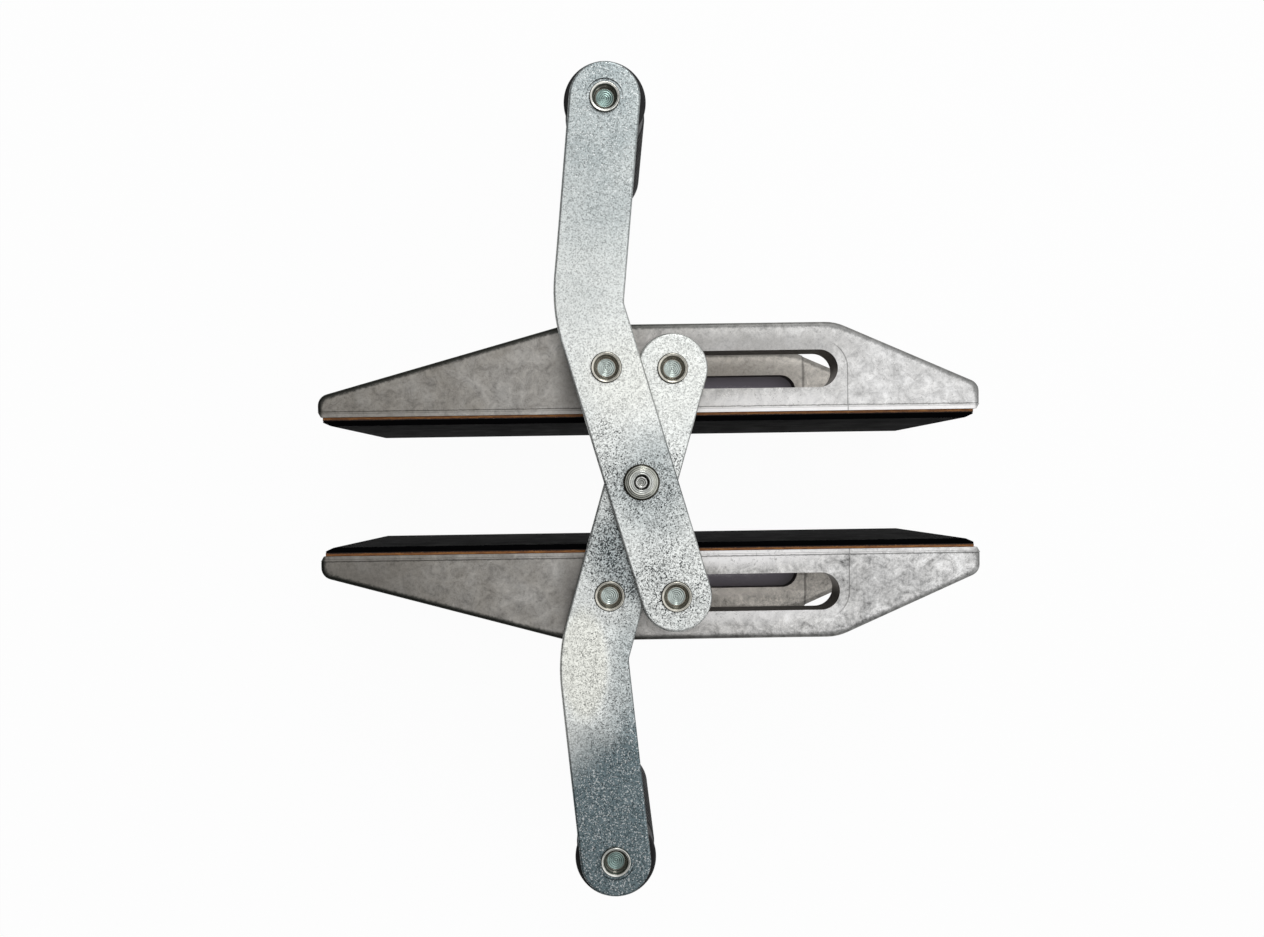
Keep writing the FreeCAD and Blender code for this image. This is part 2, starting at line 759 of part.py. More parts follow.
def make_roller(label, flange_low, body_low, body_high, x_at, y_at):
    """A flanged sleeve that runs in a slot, its flange inside the channel."""
    inner = "(sizes.pin_shank + sizes.pin_fit)"
    outer = "(sizes.slot_half - sizes.roller_fit)"
    flange = "sizes.roller_flange_outer"
    flange_high = "(%s + sizes.roller_flange_thick)" % flange_low
    above = number(body_high) > number(flange_high)
    if above:
        profile = [(inner, flange_low), (flange, flange_low), (flange, flange_high),
                   (outer, flange_high), (outer, body_high), (inner, body_high)]
    else:
        profile = [(inner, body_low), (outer, body_low), (outer, flange_low),
                   (flange, flange_low), (flange, flange_high), (inner, flange_high)]
    return turned(label, profile, x_at, y_at)


RING_INNER = "(sizes.pin_shank + sizes.pin_fit)"
PIVOT_WASHER_LOW = "(%s - sizes.inner_washer_thick)" % FRONT_INNER
PIVOT_CLIP_LOW = "(%s - sizes.clip_thick)" % PIVOT_WASHER_LOW
FRONT_FLANGE_LOW = "(%s - sizes.side_play - sizes.roller_flange_thick)" % FRONT_INNER
FRONT_CLIP_LOW = "(%s - sizes.side_play - sizes.clip_thick)" % FRONT_FLANGE_LOW
REAR_FLANGE_LOW = "(%s + sizes.side_play)" % REAR_INNER
REAR_CLIP_LOW = "(%s + sizes.roller_flange_thick + sizes.side_play)" % REAR_FLANGE_LOW
ROLLER_FRONT_TOP = "(%s - sizes.roller_end_gap)" % FRONT
ROLLER_REAR_LOW = "sizes.roller_end_gap"
LOWER = "-%s" % RISE

for side, y_at, pivot_top, slide_top in (
        ("upper", RISE, FRONT_ARM_FRONT, REAR_ARM_FRONT),
        ("lower", LOWER, REAR_ARM_FRONT, FRONT_ARM_FRONT)):
    make_pin(side + "_pivot_pin", PIVOT_X, y_at, pivot_top, [PIVOT_CLIP_LOW])
    make_ring(side + "_pivot_inner_washer", RING_INNER, "sizes.inner_washer_outer",
              PIVOT_WASHER_LOW, "sizes.inner_washer_thick", PIVOT_X, y_at)
    make_clip(side + "_pivot_clip", PIVOT_CLIP_LOW, PIVOT_X, y_at)
    make_pin(side + "_slide_pin", SLIDE_X, y_at, slide_top, [REAR_CLIP_LOW, FRONT_CLIP_LOW])
    make_roller(side + "_front_roller", FRONT_FLANGE_LOW, FRONT_FLANGE_LOW,
                ROLLER_FRONT_TOP, SLIDE_X, y_at)
    make_clip(side + "_front_roller_clip", FRONT_CLIP_LOW, SLIDE_X, y_at)
    make_roller(side + "_rear_roller", REAR_FLANGE_LOW, ROLLER_REAR_LOW,
                REAR_FLANGE_LOW, SLIDE_X, y_at)
    make_clip(side + "_rear_roller_clip", REAR_CLIP_LOW, SLIDE_X, y_at)

SPACER_TALL = "(%s - %s)" % (FRONT_ARM_BACK, FRONT)
make_ring("upper_pivot_spacer", RING_INNER, "sizes.spacer_outer", FRONT, SPACER_TALL,
          PIVOT_X, RISE)
make_ring("lower_slide_spacer", RING_INNER, "sizes.spacer_outer", FRONT, SPACER_TALL,
          SLIDE_X, LOWER)
make_ring("lower_pivot_washer", RING_INNER, "sizes.spacer_outer", FRONT,
          "sizes.jaw_washer_thick", PIVOT_X, LOWER)
make_ring("upper_slide_washer", RING_INNER, "sizes.spacer_outer", FRONT,
          "sizes.jaw_washer_thick", SLIDE_X, RISE)


# Centre pivot: a collared bush pressed into the rear arm, and its socket screw.

HEAD_LOW = "(%s + sizes.side_play)" % FRONT_ARM_FRONT
bush_bore = "(sizes.screw_shank + sizes.pin_fit)"
turned("centre_bush", [
    (bush_bore, REAR_ARM_BACK),
    ("sizes.bush_press", REAR_ARM_BACK),
    ("sizes.bush_press", REAR_ARM_FRONT),
    ("sizes.collar_outer", REAR_ARM_FRONT),
    ("sizes.collar_outer", FRONT_ARM_BACK),
    ("sizes.bush_journal", FRONT_ARM_BACK),
    ("sizes.bush_journal", HEAD_LOW),
    (bush_bore, HEAD_LOW),
], CENTRE_X, "0")
screw = turned("centre_screw", [
    ("0", "(%s + sizes.screw_end_gap)" % REAR_ARM_BACK),
    ("sizes.screw_shank", "(%s + sizes.screw_end_gap)" % REAR_ARM_BACK),
    ("sizes.screw_shank", HEAD_LOW),
    ("sizes.screw_head", HEAD_LOW),
    ("sizes.screw_head", "(%s + sizes.screw_head_side)" % HEAD_LOW),
    ("sizes.screw_head_flat", "(%s + sizes.screw_head_rise)" % HEAD_LOW),
    ("0", "(%s + sizes.screw_head_rise)" % HEAD_LOW),
], CENTRE_X, "0")
socket = new_sketch(screw, "centre_screw_socket", "XY_Plane",
                    "(%s + sizes.screw_head_rise + sizes.cut_over)" % HEAD_LOW)
socket_corner = "(sizes.socket_flats / sqrt(3))"
socket_turns = ["((sizes.socket_angle + %d) * 1 deg)" % (FULL_TURN * index // HEX_SIDES)
                for index in range(HEX_SIDES)]
draw_polygon(socket, [("(%s * cos(%s))" % (socket_corner, turn),
                       "(%s * sin(%s))" % (socket_corner, turn)) for turn in socket_turns])
pocket(screw, socket, "(sizes.cut_over + sizes.socket_deep)", "centre_screw_socket_cut")


# Handles: a rod riveted into each arm's end, under a rubber grip.

HANDLE_X = "(%s - sin(%s) * %s + cos(%s) * %s)" % (CENTRE_X, OPEN_ANGLE, HANDLE_U,
                                                  OPEN_ANGLE, HANDLE_V)
HANDLE_Y = "(cos(%s) * %s + sin(%s) * %s)" % (OPEN_ANGLE, HANDLE_U, OPEN_ANGLE, HANDLE_V)


def make_rod(label, y_at):
    """The rod: a shouldered bar below the arm, riveted in the arm's recess."""
    seat = "(%s + sizes.rod_recess_deep)" % HANDLE_BACK
    ring_low = "(%s - sizes.rod_recess_deep)" % HANDLE_FRONT
    point = "sizes.pin_point"
    profile = [
        ("0", "sizes.rod_end_up"),
        ("(sizes.rod_outer - %s)" % point, "sizes.rod_end_up"),
        ("sizes.rod_outer", "(sizes.rod_end_up + %s)" % point),
        ("sizes.rod_outer", HANDLE_BACK),
        ("(sizes.rod_recess_outer - sizes.pin_fit)", HANDLE_BACK),
        ("(sizes.rod_recess_outer - sizes.pin_fit)", seat),
        ("sizes.rod_shank", seat),
    ]
    profile += pin_head(ring_low, "sizes.rod_ring_outer", "sizes.rod_shank")
    return turned(label, profile, HANDLE_X, y_at)


def make_grip(label, y_at):
    """A moulded grip over the rod, flanged at the arm, ringed and closed at its end."""
    bore = "(sizes.rod_outer + sizes.grip_fit)"
    top = "(%s - sizes.grip_flange_gap)" % HANDLE_BACK
    low = "sizes.grip_end_up"
    edge = "sizes.grip_edge"
    tail_top = "(%s + sizes.grip_tail_thick)" % low
    flange_low = "(%s - sizes.grip_flange_thick)" % top
    outside = [
        ("(sizes.grip_tail_outer - 2 * %s)" % edge, low),
        ("sizes.grip_tail_outer", "(%s + %s)" % (low, edge)),
        ("sizes.grip_tail_outer", "(%s - %s)" % (tail_top, edge)),
        ("sizes.grip_body_outer", tail_top),
    ]
    ring_half = "sizes.grip_ring_thick / 2"
    for index in range(GRIP_RINGS):
        middle = "(%s + sizes.grip_ring_start + %d * sizes.grip_ring_pitch)" % (low, index)
        outside += [
            ("sizes.grip_body_outer", "(%s - %s)" % (middle, ring_half)),
            ("sizes.grip_ring_outer", "(%s - %s / 2)" % (middle, ring_half)),
            ("sizes.grip_ring_outer", "(%s + %s / 2)" % (middle, ring_half)),
            ("sizes.grip_body_outer", "(%s + %s)" % (middle, ring_half)),
        ]
    outside += [
        ("sizes.grip_body_outer", flange_low),
        ("(sizes.grip_flange_outer - %s)" % edge, flange_low),
        ("sizes.grip_flange_outer", "(%s + %s)" % (flange_low, edge)),
        ("sizes.grip_flange_outer", "(%s - %s / 2)" % (top, edge)),
        ("(sizes.grip_flange_outer - %s / 2)" % edge, top),
        (bore, top),
        (bore, "(sizes.rod_end_up - sizes.grip_fit)"),
        ("0", "(sizes.rod_end_up - sizes.grip_fit)"),
        ("0", low),
    ]
    return turned(label, outside, HANDLE_X, y_at)


for side, y_at in (("upper", HANDLE_Y), ("lower", "-" + HANDLE_Y)):
    make_rod(side + "_handle_rod", y_at)
    make_grip(side + "_grip", y_at)

doc.recompute()


# Every object has to be sound before anything is written.

for item in doc.Objects:
    for state in item.State:
        if state in ("Invalid", "Error"):
            raise RuntimeError("%s is %s" % (item.Label, state))

os.makedirs("parts", exist_ok=True)
for item in SUB_PARTS:
    shape = item.Shape
    if shape.isNull() or not shape.isValid() or len(shape.Solids) < 1:
        raise RuntimeError("%s has no sound solid" % item.Label)
    shape.exportStep(os.path.join("parts", item.Label + ".step"))

print("nodes", len(SUB_PARTS))
print("open angle", round(open_angle, 3), "closing swing", round(closed_angle - open_angle, 3))
print("pivot x", round(number(PIVOT_X), 3), "centre x", round(number(CENTRE_X), 3),
      "slide x", round(number(SLIDE_X), 3), "pivot y", round(number(RISE), 3))
print("handle", round(number(HANDLE_X), 3), round(number(HANDLE_Y), 3))
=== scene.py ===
"""A carry clamp for slabs, dressed and lit as a maker's studio would show it.

The clamp lies on the backs of its jaws and is seen from straight above. Two cast
jaws hold a cloth-reinforced backing and a rubber pad each; two blasted and zinc
plated arms cross between them and end in rods with rubber grips.
"""

import logging
import math
from dataclasses import dataclass
from enum import Enum
from functools import partial, reduce
from typing import Any, Optional

import bpy
import numpy as np
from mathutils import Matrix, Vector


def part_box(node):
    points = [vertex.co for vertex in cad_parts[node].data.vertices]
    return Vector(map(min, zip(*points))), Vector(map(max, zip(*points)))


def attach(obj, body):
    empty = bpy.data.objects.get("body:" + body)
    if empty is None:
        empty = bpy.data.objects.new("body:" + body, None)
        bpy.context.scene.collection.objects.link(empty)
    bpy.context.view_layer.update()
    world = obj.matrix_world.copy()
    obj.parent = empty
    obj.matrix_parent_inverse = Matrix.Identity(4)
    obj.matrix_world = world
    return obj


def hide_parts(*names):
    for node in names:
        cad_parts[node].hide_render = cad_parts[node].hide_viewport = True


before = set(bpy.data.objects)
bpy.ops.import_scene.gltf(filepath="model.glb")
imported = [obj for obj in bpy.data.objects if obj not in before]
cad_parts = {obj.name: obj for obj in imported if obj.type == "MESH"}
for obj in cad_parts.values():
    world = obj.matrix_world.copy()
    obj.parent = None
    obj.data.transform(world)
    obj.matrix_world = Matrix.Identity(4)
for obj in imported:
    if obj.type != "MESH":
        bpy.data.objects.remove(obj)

Tree = bpy.types.NodeTree
Socket = bpy.types.NodeSocket
Material = bpy.types.Material
Piece = bpy.types.Object
Point = tuple[float, float, float]

MM = 0.001
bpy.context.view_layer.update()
LOG = logging.getLogger("carry_clamp")

# Grime takes some of the glance that clean metal gives at a low angle.
METAL = {"Metallic": 1.0, "Specular Tint": (0.55, 0.55, 0.55, 1.0)}
EASED = {"interpolation_type": "SMOOTHSTEP"}
WHITE = (1.0, 1.0, 1.0, 1.0)

# The photograph's frame, in pixels.
IMAGE_WIDTH = 1264
IMAGE_HEIGHT = 937


class Side(Enum):
    """Which of the two jaws or handles a piece belongs to."""

    UPPER = 1
    LOWER = -1

    @property
    def word(self) -> str:
        """The side's word in node names."""
        return self.name.lower()


def linear(code: str) -> tuple[float, float, float, float]:
    """Turn an sRGB hex colour into linear light.

    Args:
        code: The colour as "#rrggbb".

    Returns:
        Red, green, blue and an alpha of one.
    """
    shares = np.array([int(code[at:at + 2], 16) for at in (1, 3, 5)]) / 255
    light = np.where(shares <= 0.04045, shares / 12.92, ((shares + 0.055) / 1.055) ** 2.4)
    return float(light[0]), float(light[1]), float(light[2]), 1.0


def scale_for(millimetres: float) -> float:
    """The texture scale whose features are this many millimetres wide."""
    return 1 / (millimetres * MM)


def grain(place: Socket, millimetres: float, detail: float, rough: float = 0.5,
          warp: float = 0.0) -> dict[str, Any]:
    """A noise texture's inputs.

    Args:
        place: The coordinates that it reads.
        millimetres: How wide its features are.
        detail: How many finer layers it has.
        rough: How much they count.
        warp: How far it is distorted.

    Returns:
        The inputs by name.
    """
    return {"Vector": place, "Scale": scale_for(millimetres), "Detail": detail,
            "Roughness": rough, "Distortion": warp}


def add_node(tree: Tree, kind: str, feeds: Any = (), out: Any = 0, **settings: Any) -> Any:
    """Add one node to a tree.

    Args:
        tree: The material's or world's nodes.
        kind: The node's type name after ShaderNode, with its operation after a dot.
        feeds: Sockets to link and constants to set, by input in order, name or number.
        out: The name or number of the output to give back, or None for all of them.
        settings: The node's own options.

    Returns:
        The output, or all outputs.
    """
    kind, _, operation = kind.partition(".")
    node = tree.nodes.new("ShaderNode" + kind)
    if operation:
        node.operation = operation
    for name, value in settings.items():
        setattr(node, name, value)
    for key, feed in feeds.items() if isinstance(feeds, dict) else enumerate(feeds):
        if isinstance(feed, Socket):
            tree.links.new(feed, node.inputs[key])
        else:
            node.inputs[key].default_value = feed
    return node.outputs if out is None else node.outputs[out]


def empty_material(name: str) -> tuple[Material, Tree]:
    """A new material with no nodes in it, and its tree."""
    material = bpy.data.materials.new(name)
    material.use_nodes = True
    material.node_tree.nodes.clear()
    return material, material.node_tree


# Surfaces

# Points round a turned piece, a multiple of six, and rows up a plate's side and rim.
COLUMNS = 96
PLATE_ROWS = 12
RIM_ROWS = 6
# Edges of the CAD solids sharper than this stay sharp, and points nearer are one.
SHARP_EDGE = math.radians(32)
WELD_REACH = 0.002 * MM
# Shares of a side that a cut and its guard point reach at most, and how far out the
# guard point stands, in cuts.
MOST_CUT = 0.4
MOST_REACH = 0.48
GUARD_REACH = 1.25
# Steps in which a normal's lean and a plane's distance are told apart.
LEAN_STEPS = 500
PLANE_STEP = 0.02 * MM


def soften(corners: np.ndarray, cuts: np.ndarray, steps: int, closed: bool) -> np.ndarray:
    """Round an outline's corners.

    A corner C gives way to the parabola (1-t)^2 A + 2t(1-t) C + t^2 B, whose ends
    A and B lie one cut away from it on its two sides. One more point, its guard,
    stands a little further out on each side, so that the flats beside it stay flat.

    Args:
        corners: Points in a plane, one row each.
        cuts: How far each corner is cut back.
        steps: Points along each parabola.
        closed: Whether the last corner joins the first.

    Returns:
        The rounded outline's points.
    """
    before = np.roll(corners, 1, axis=0)
    after = np.roll(corners, -1, axis=0)
    if not closed:
        before[0] = corners[0]
        after[-1] = corners[-1]
    sides = np.stack([before - corners, after - corners])
    lengths = np.linalg.norm(sides, axis=2, keepdims=True)
    ways = sides / np.maximum(lengths, 1e-12)
    reach = np.minimum(np.reshape(cuts, (1, -1, 1)), lengths * MOST_CUT)
    near_ends = corners + ways * reach
    far_ends = corners + ways * np.minimum(reach * GUARD_REACH, lengths * MOST_REACH)
    share = np.linspace(0, 1, steps).reshape(1, -1, 1)
    curve = ((1 - share) ** 2 * near_ends[0][:, None] + 2 * share * (1 - share) * corners[:, None]
             + share ** 2 * near_ends[1][:, None])
    rows = np.concatenate([far_ends[0][:, None], curve, far_ends[1][:, None]], axis=1)
    points = rows.reshape(-1, corners.shape[1])
    moved = np.linalg.norm(points - np.roll(points, 1, axis=0), axis=1) > 1e-8
    moved[0] = True
    return points[moved]


def inset(corners: np.ndarray, distance: float) -> np.ndarray:
    """Move a convex outline's sides inwards.

    Each corner moves along the sum of its two sides' inward normals, by the
    distance divided by one plus the normals' product.

    Args:
        corners: Corner points, counter-clockwise.
        distance: How far the sides move.

    Returns:
        The smaller outline's corners.
    """
    ways = np.roll(corners, -1, axis=0) - corners
    ways /= np.linalg.norm(ways, axis=1, keepdims=True)
    inward = np.stack([-ways[:, 1], ways[:, 0]], axis=1)
    last = np.roll(inward, 1, axis=0)
    lean = 1 + np.sum(inward * last, axis=1, keepdims=True)
    return corners + distance * (inward + last) / lean


def close_skin(name: str, grid: np.ndarray, poles: np.ndarray) -> Piece:
    """Make a closed object from a grid whose columns go round.

    Args:
        name: The object's name.
        grid: Points by row, column and coordinate.
        poles: The two points that close the first and the last row.

    Returns:
        The object, with smooth faces that point outwards.
    """
    rows, columns = grid.shape[:2]
    number = np.arange(rows * columns).reshape(rows, columns)
    beside = np.roll(number, -1, axis=1)
    quads = np.stack([number[:-1], beside[:-1], beside[1:], number[1:]], axis=-1).reshape(-1, 4)
    low_pole = np.full(columns, rows * columns)
    low_fan = np.stack([low_pole, beside[0], number[0]], axis=-1)
    high_fan = np.stack([number[-1], beside[-1], low_pole + 1], axis=-1)
    points = np.concatenate([grid.reshape(-1, 3), poles])
    triangles = np.concatenate([quads[:, :3], quads[:, [0, 2, 3]], low_fan, high_fan])
    first, second, third = (points[triangles[:, index]] for index in range(3))
    if np.sum(first * np.cross(second, third)) < 0:
        quads, low_fan, high_fan = quads[:, ::-1], low_fan[:, ::-1], high_fan[:, ::-1]
    mesh = bpy.data.meshes.new(name)
    faces = quads.tolist() + low_fan.tolist() + high_fan.tolist()
    mesh.from_pydata(points.tolist(), [], faces)
    mesh.polygons.foreach_set("use_smooth", np.ones(len(faces), bool))
    mesh.update()
    piece = bpy.data.objects.new(name, mesh)
    bpy.context.scene.collection.objects.link(piece)
    return piece


def turned_piece(name: str, axis: tuple[float, float], profile: np.ndarray,
                 hexness: Optional[np.ndarray] = None, turn: float = 0.0) -> Piece:
    """Spin a profile round an upright axis.

    A point at angle a and radius r stands at (cos a, sin a) r from the axis. A row
    with hexness h uses the mix (1-h) r + h r cos 30 / cos(a mod 60 - 30) instead,
    which is a hexagon for h = 1. Each point keeps its distance from the axis, in
    millimetres, in the attribute from_axis, and its way outwards in outward.

    Args:
        name: The object's name.
        axis: The axis's x and y.
        profile: Radius and height by row, from the axis back to the axis.
        hexness: One share for each row of the profile.
        turn: The angle of the first corner of the hexagon.

    Returns:
        The closed object.
    """
    radius, height = profile[1:-1, 0:1], profile[1:-1, 1:2]
    around = np.arange(COLUMNS) * 2 * math.pi / COLUMNS
    share = np.zeros_like(radius) if hexness is None else hexness[1:-1, None]
    side = math.cos(math.pi / 6) / np.cos(np.mod(around, math.pi / 3) - math.pi / 6)
    reach = radius * (1 - share + share * side[None, :])
    angle = around[None, :] + turn
    grid = np.stack([axis[0] + reach * np.cos(angle), axis[1] + reach * np.sin(angle),
                     np.broadcast_to(height, reach.shape)], axis=-1)
    poles = np.array([[axis[0], axis[1], profile[0, 1]], [axis[0], axis[1], profile[-1, 1]]])
    piece = close_skin(name, grid, poles)
    from_axis = np.concatenate([reach.ravel(), [0.0, 0.0]]) / MM
    attribute = piece.data.attributes.new("from_axis", "FLOAT", "POINT")
    attribute.data.foreach_set("value", from_axis.astype(np.float32))
    outward = np.stack([np.cos(angle), np.sin(angle), np.zeros_like(angle)], axis=-1)
    outward = np.concatenate([np.tile(outward[0], (len(radius), 1)), np.eye(3)[:1], np.eye(3)[:1]])
    attribute = piece.data.attributes.new("outward", "FLOAT_VECTOR", "POINT")
    attribute.data.foreach_set("vector", outward.astype(np.float32).ravel())
    return piece


def plate_piece(name: str, corners: np.ndarray, low: float, high: float, rim: float) -> Piece:
    """Carry a softened outline up from one height to another, with round rims.

    At a depth d below either rim the outline stands back by e - sqrt(e^2 - (e-d)^2),
    a quarter circle of radius e.

    Args:
        name: The object's name.
        corners: The outline's corners, counter-clockwise.
        low: The lower height.
        high: The upper height.
        rim: The radius of the rounded rims, and how far the corners are cut back.

    Returns:
        The closed object.
    """
    quarter = np.linspace(0, math.pi / 2, RIM_ROWS)
    back = rim * (1 - np.sin(quarter))
    rise = rim * (1 - np.cos(quarter))
    between = np.linspace(low + 2 * rim, high - 2 * rim, PLATE_ROWS)
    levels = np.concatenate([low + rise, between, high - rise[::-1]])
    standing_back = np.concatenate([back, np.zeros(PLATE_ROWS), back[::-1]])
    rings = [soften(inset(corners, distance), np.full(len(corners), rim), 5, True)
             for distance in standing_back]
    grid = np.stack([np.concatenate([ring, np.full((len(ring), 1), level)], axis=1)
                     for ring, level in zip(rings, levels)])
    return close_skin(name, grid, np.stack([grid[0].mean(axis=0), grid[-1].mean(axis=0)]))


def flat_normals(mesh: bpy.types.Mesh) -> np.ndarray:
    """Normals for a CAD mesh's corners that keep its flats flat.

    Triangles in one plane form a flat, whose area is their sum. A corner's normal
    is the sum of the normals of the triangles round its vertex that make no sharp
    edge with its own, each times its flat's area squared, so beside a rounded rim
    the broad flat has the say.

    Args:
        mesh: A mesh of joined triangles.

    Returns:
        One unit normal for each corner, in the mesh's order.
    """
    count = len(mesh.polygons)
    normal, centre, area = np.empty(count * 3), np.empty(count * 3), np.empty(count)
    vertex = np.empty(len(mesh.loops), int)
    mesh.polygons.foreach_get("normal", normal)
    mesh.polygons.foreach_get("center", centre)
    mesh.polygons.foreach_get("area", area)
    mesh.loops.foreach_get("vertex_index", vertex)
    normal, centre = normal.reshape(-1, 3), centre.reshape(-1, 3)
    offset = np.sum(normal * centre, axis=1, keepdims=True)
    planes = np.round(np.concatenate([normal * LEAN_STEPS, offset / PLANE_STEP], axis=1))
    _, flat = np.unique(planes, axis=0, return_inverse=True)
    flat = flat.ravel()
    say = np.bincount(flat, weights=area)[flat] ** 2
    face = np.arange(len(vertex)) // 3
    order = np.argsort(vertex, kind="stable")
    counts = np.bincount(vertex)
    starts = np.concatenate([[0], np.cumsum(counts)[:-1]])
    around = counts[vertex]
    own = np.repeat(np.arange(len(vertex)), around)
    step = np.arange(len(own)) - np.repeat(np.cumsum(around) - around, around)
    other = face[order[starts[vertex[own]] + step]]
    near = np.sum(normal[face[own]] * normal[other], axis=1) > math.cos(SHARP_EDGE)
    summed = np.stack([np.bincount(own, weights=near * say[other] * normal[other, axis])
                       for axis in range(3)], axis=1)
    return summed / np.linalg.norm(summed, axis=1, keepdims=True)


def smooth_copy(name: str, node: str) -> Piece:
    """A copy of a CAD node whose triangles are joined and smoothed, but for sharp edges.

    Args:
        name: The copy's name.
        node: The CAD node.

    Returns:
        The new object, which stands for the node.
    """
    piece = bpy.data.objects.new(name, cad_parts[node].data.copy())
    bpy.context.scene.collection.objects.link(piece)
    weld = piece.modifiers.new("joined", "WELD")
    weld.merge_threshold = WELD_REACH
    depsgraph = bpy.context.evaluated_depsgraph_get()
    joined = bpy.data.meshes.new_from_object(piece.evaluated_get(depsgraph))
    piece.modifiers.clear()
    piece.data = joined
    joined.polygons.foreach_set("use_smooth", np.ones(len(joined.polygons), bool))
    joined.set_sharp_from_angle(angle=SHARP_EDGE)
    joined.normals_split_custom_set(flat_normals(joined).tolist())
    return piece


# Finishes

@dataclass(frozen=True)
class Patch:
    """An oval area of a piece, in millimetres from the clamp's middle."""

    across: float
    along: float
    half_width: float
    half_length: float
    strength: float
    soft: float = 0.7

    def share(self, tree: Tree, place: Socket) -> Socket:
        """The patch's strength inside the oval, fading to zero at its edge.

        A point (x, y) is inside where the length of ((x - a) / w, (y - b) / l) is
        below one.

        Args:
            tree: The material's nodes.
            place: The object coordinates.

        Returns:
            The share at each point.
        """
        wide, long = self.half_width * MM, self.half_length * MM
        shift = (-self.across * MM / wide, -self.along * MM / long, 0)
        oval = add_node(tree, "Mapping", {"Vector": place, "Location": shift,
                                          "Scale": (1 / wide, 1 / long, 0)})
        away = add_node(tree, "VectorMath.LENGTH", (oval,), "Value")
        return add_node(tree, "MapRange", (away, 1.0, 1.0 - self.soft, 0, self.strength), **EASED)


def patches(tree: Tree, place: Socket, areas: tuple[Patch, ...]) -> Socket:
    """Add up patches, to one at most.

    Args:
        tree: The material's nodes.
        place: The object coordinates.
        areas: The patches.

    Returns:
        Their sum at each point.
    """
    shares = [area.share(tree, place) for area in areas]
    return reduce(lambda one, two: add_node(tree, "Math.ADD", (one, two), use_clamp=True), shares)


def coats(tree: Tree, colour: Any, *layers: tuple[Socket, str]) -> Socket:
    """Lay other tints over a colour, one after another.

    Args:
        tree: The material's nodes.
        colour: The colour below, as a socket or a hex code.
        layers: Each tint's share and its hex code.

    Returns:
        The colour on top.
    """
    top = linear(colour) if isinstance(colour, str) else colour
    for share, tint in layers:
        top = add_node(tree, "Mix", {0: share, 6: top, 7: linear(tint)}, 2, data_type="RGBA")
    return top


def band(tree: Tree, value: Socket, middle: float, half: float, soft: float) -> Socket:
    """One inside a narrow band of a value and zero outside it.

    Args:
        tree: The material's nodes.
        value: The value to test.
        middle: The band's middle.
        half: Half of the band's width.
        soft: The width of its soft edge.

    Returns:
        The band's share.
    """
    away = add_node(tree, "Math.SUBTRACT", (value, middle))
    away = add_node(tree, "Math.ABSOLUTE", (away,))
    return add_node(tree, "MapRange", (away, half + soft, half, 0, 1), **EASED)


def rim_shade_share(tree: Tree, front: float, full: float, strength: float, sides: float) -> Socket:
    """How much painted shade a point gets on a rounded rim, between the broad faces and the sides.

    Args:
        tree: The material's nodes.
        front: The normal's height at which the rim starts.
        full: The normal's height from which it counts in full.
        strength: The share there.
        sides: The share on the upright sides below the rim.

    Returns:
        The share at each point.
    """
    normal = add_node(tree, "NewGeometry", out="Normal")
    height = add_node(tree, "SeparateXYZ", (normal,), 2)
    height = add_node(tree, "Math.ABSOLUTE", (height,))
    tilted = add_node(tree, "MapRange", (height, front, full, 0, strength))
    rim = add_node(tree, "MapRange", (height, 0.02, 0.25, sides / strength, 1.0))
    return add_node(tree, "Math.MULTIPLY", (tilted, rim))


@dataclass(frozen=True)
class Bump:
    """A height that stands out or is sunk by a depth in millimetres."""

    height: Socket
    strength: float
    deep: float
    sunk: bool = False


# A shader's inputs by name, and its bumps from the lowest up.
Painting = tuple[dict[str, Any], tuple[Bump, ...]]


@dataclass(frozen=True)
class Finish:
    """A surface that can be made into a material."""

    name: str

    def paint(self, tree: Tree, place: Socket) -> Painting:
        """Draw the finish.

        Args:
            tree: The material's nodes.
            place: The object coordinates.

        Returns:
            The shader's inputs and its bumps.
        """
        raise NotImplementedError

    def material(self) -> Material:
        """The finish as a material."""
        material, tree = empty_material(self.name)
        inputs, bumps = self.paint(tree, add_node(tree, "TexCoord", out="Object"))
        for bump in bumps:
            below = {"Normal": inputs["Normal"]} if "Normal" in inputs else {}
            inputs["Normal"] = add_node(tree, "Bump", {"Height": bump.height,
                "Strength": bump.strength, "Distance": bump.deep * MM, **below}, invert=bump.sunk)
        shader = add_node(tree, "BsdfPrincipled", inputs)
        add_node(tree, "OutputMaterial", {"Surface": shader}, None)
        return material


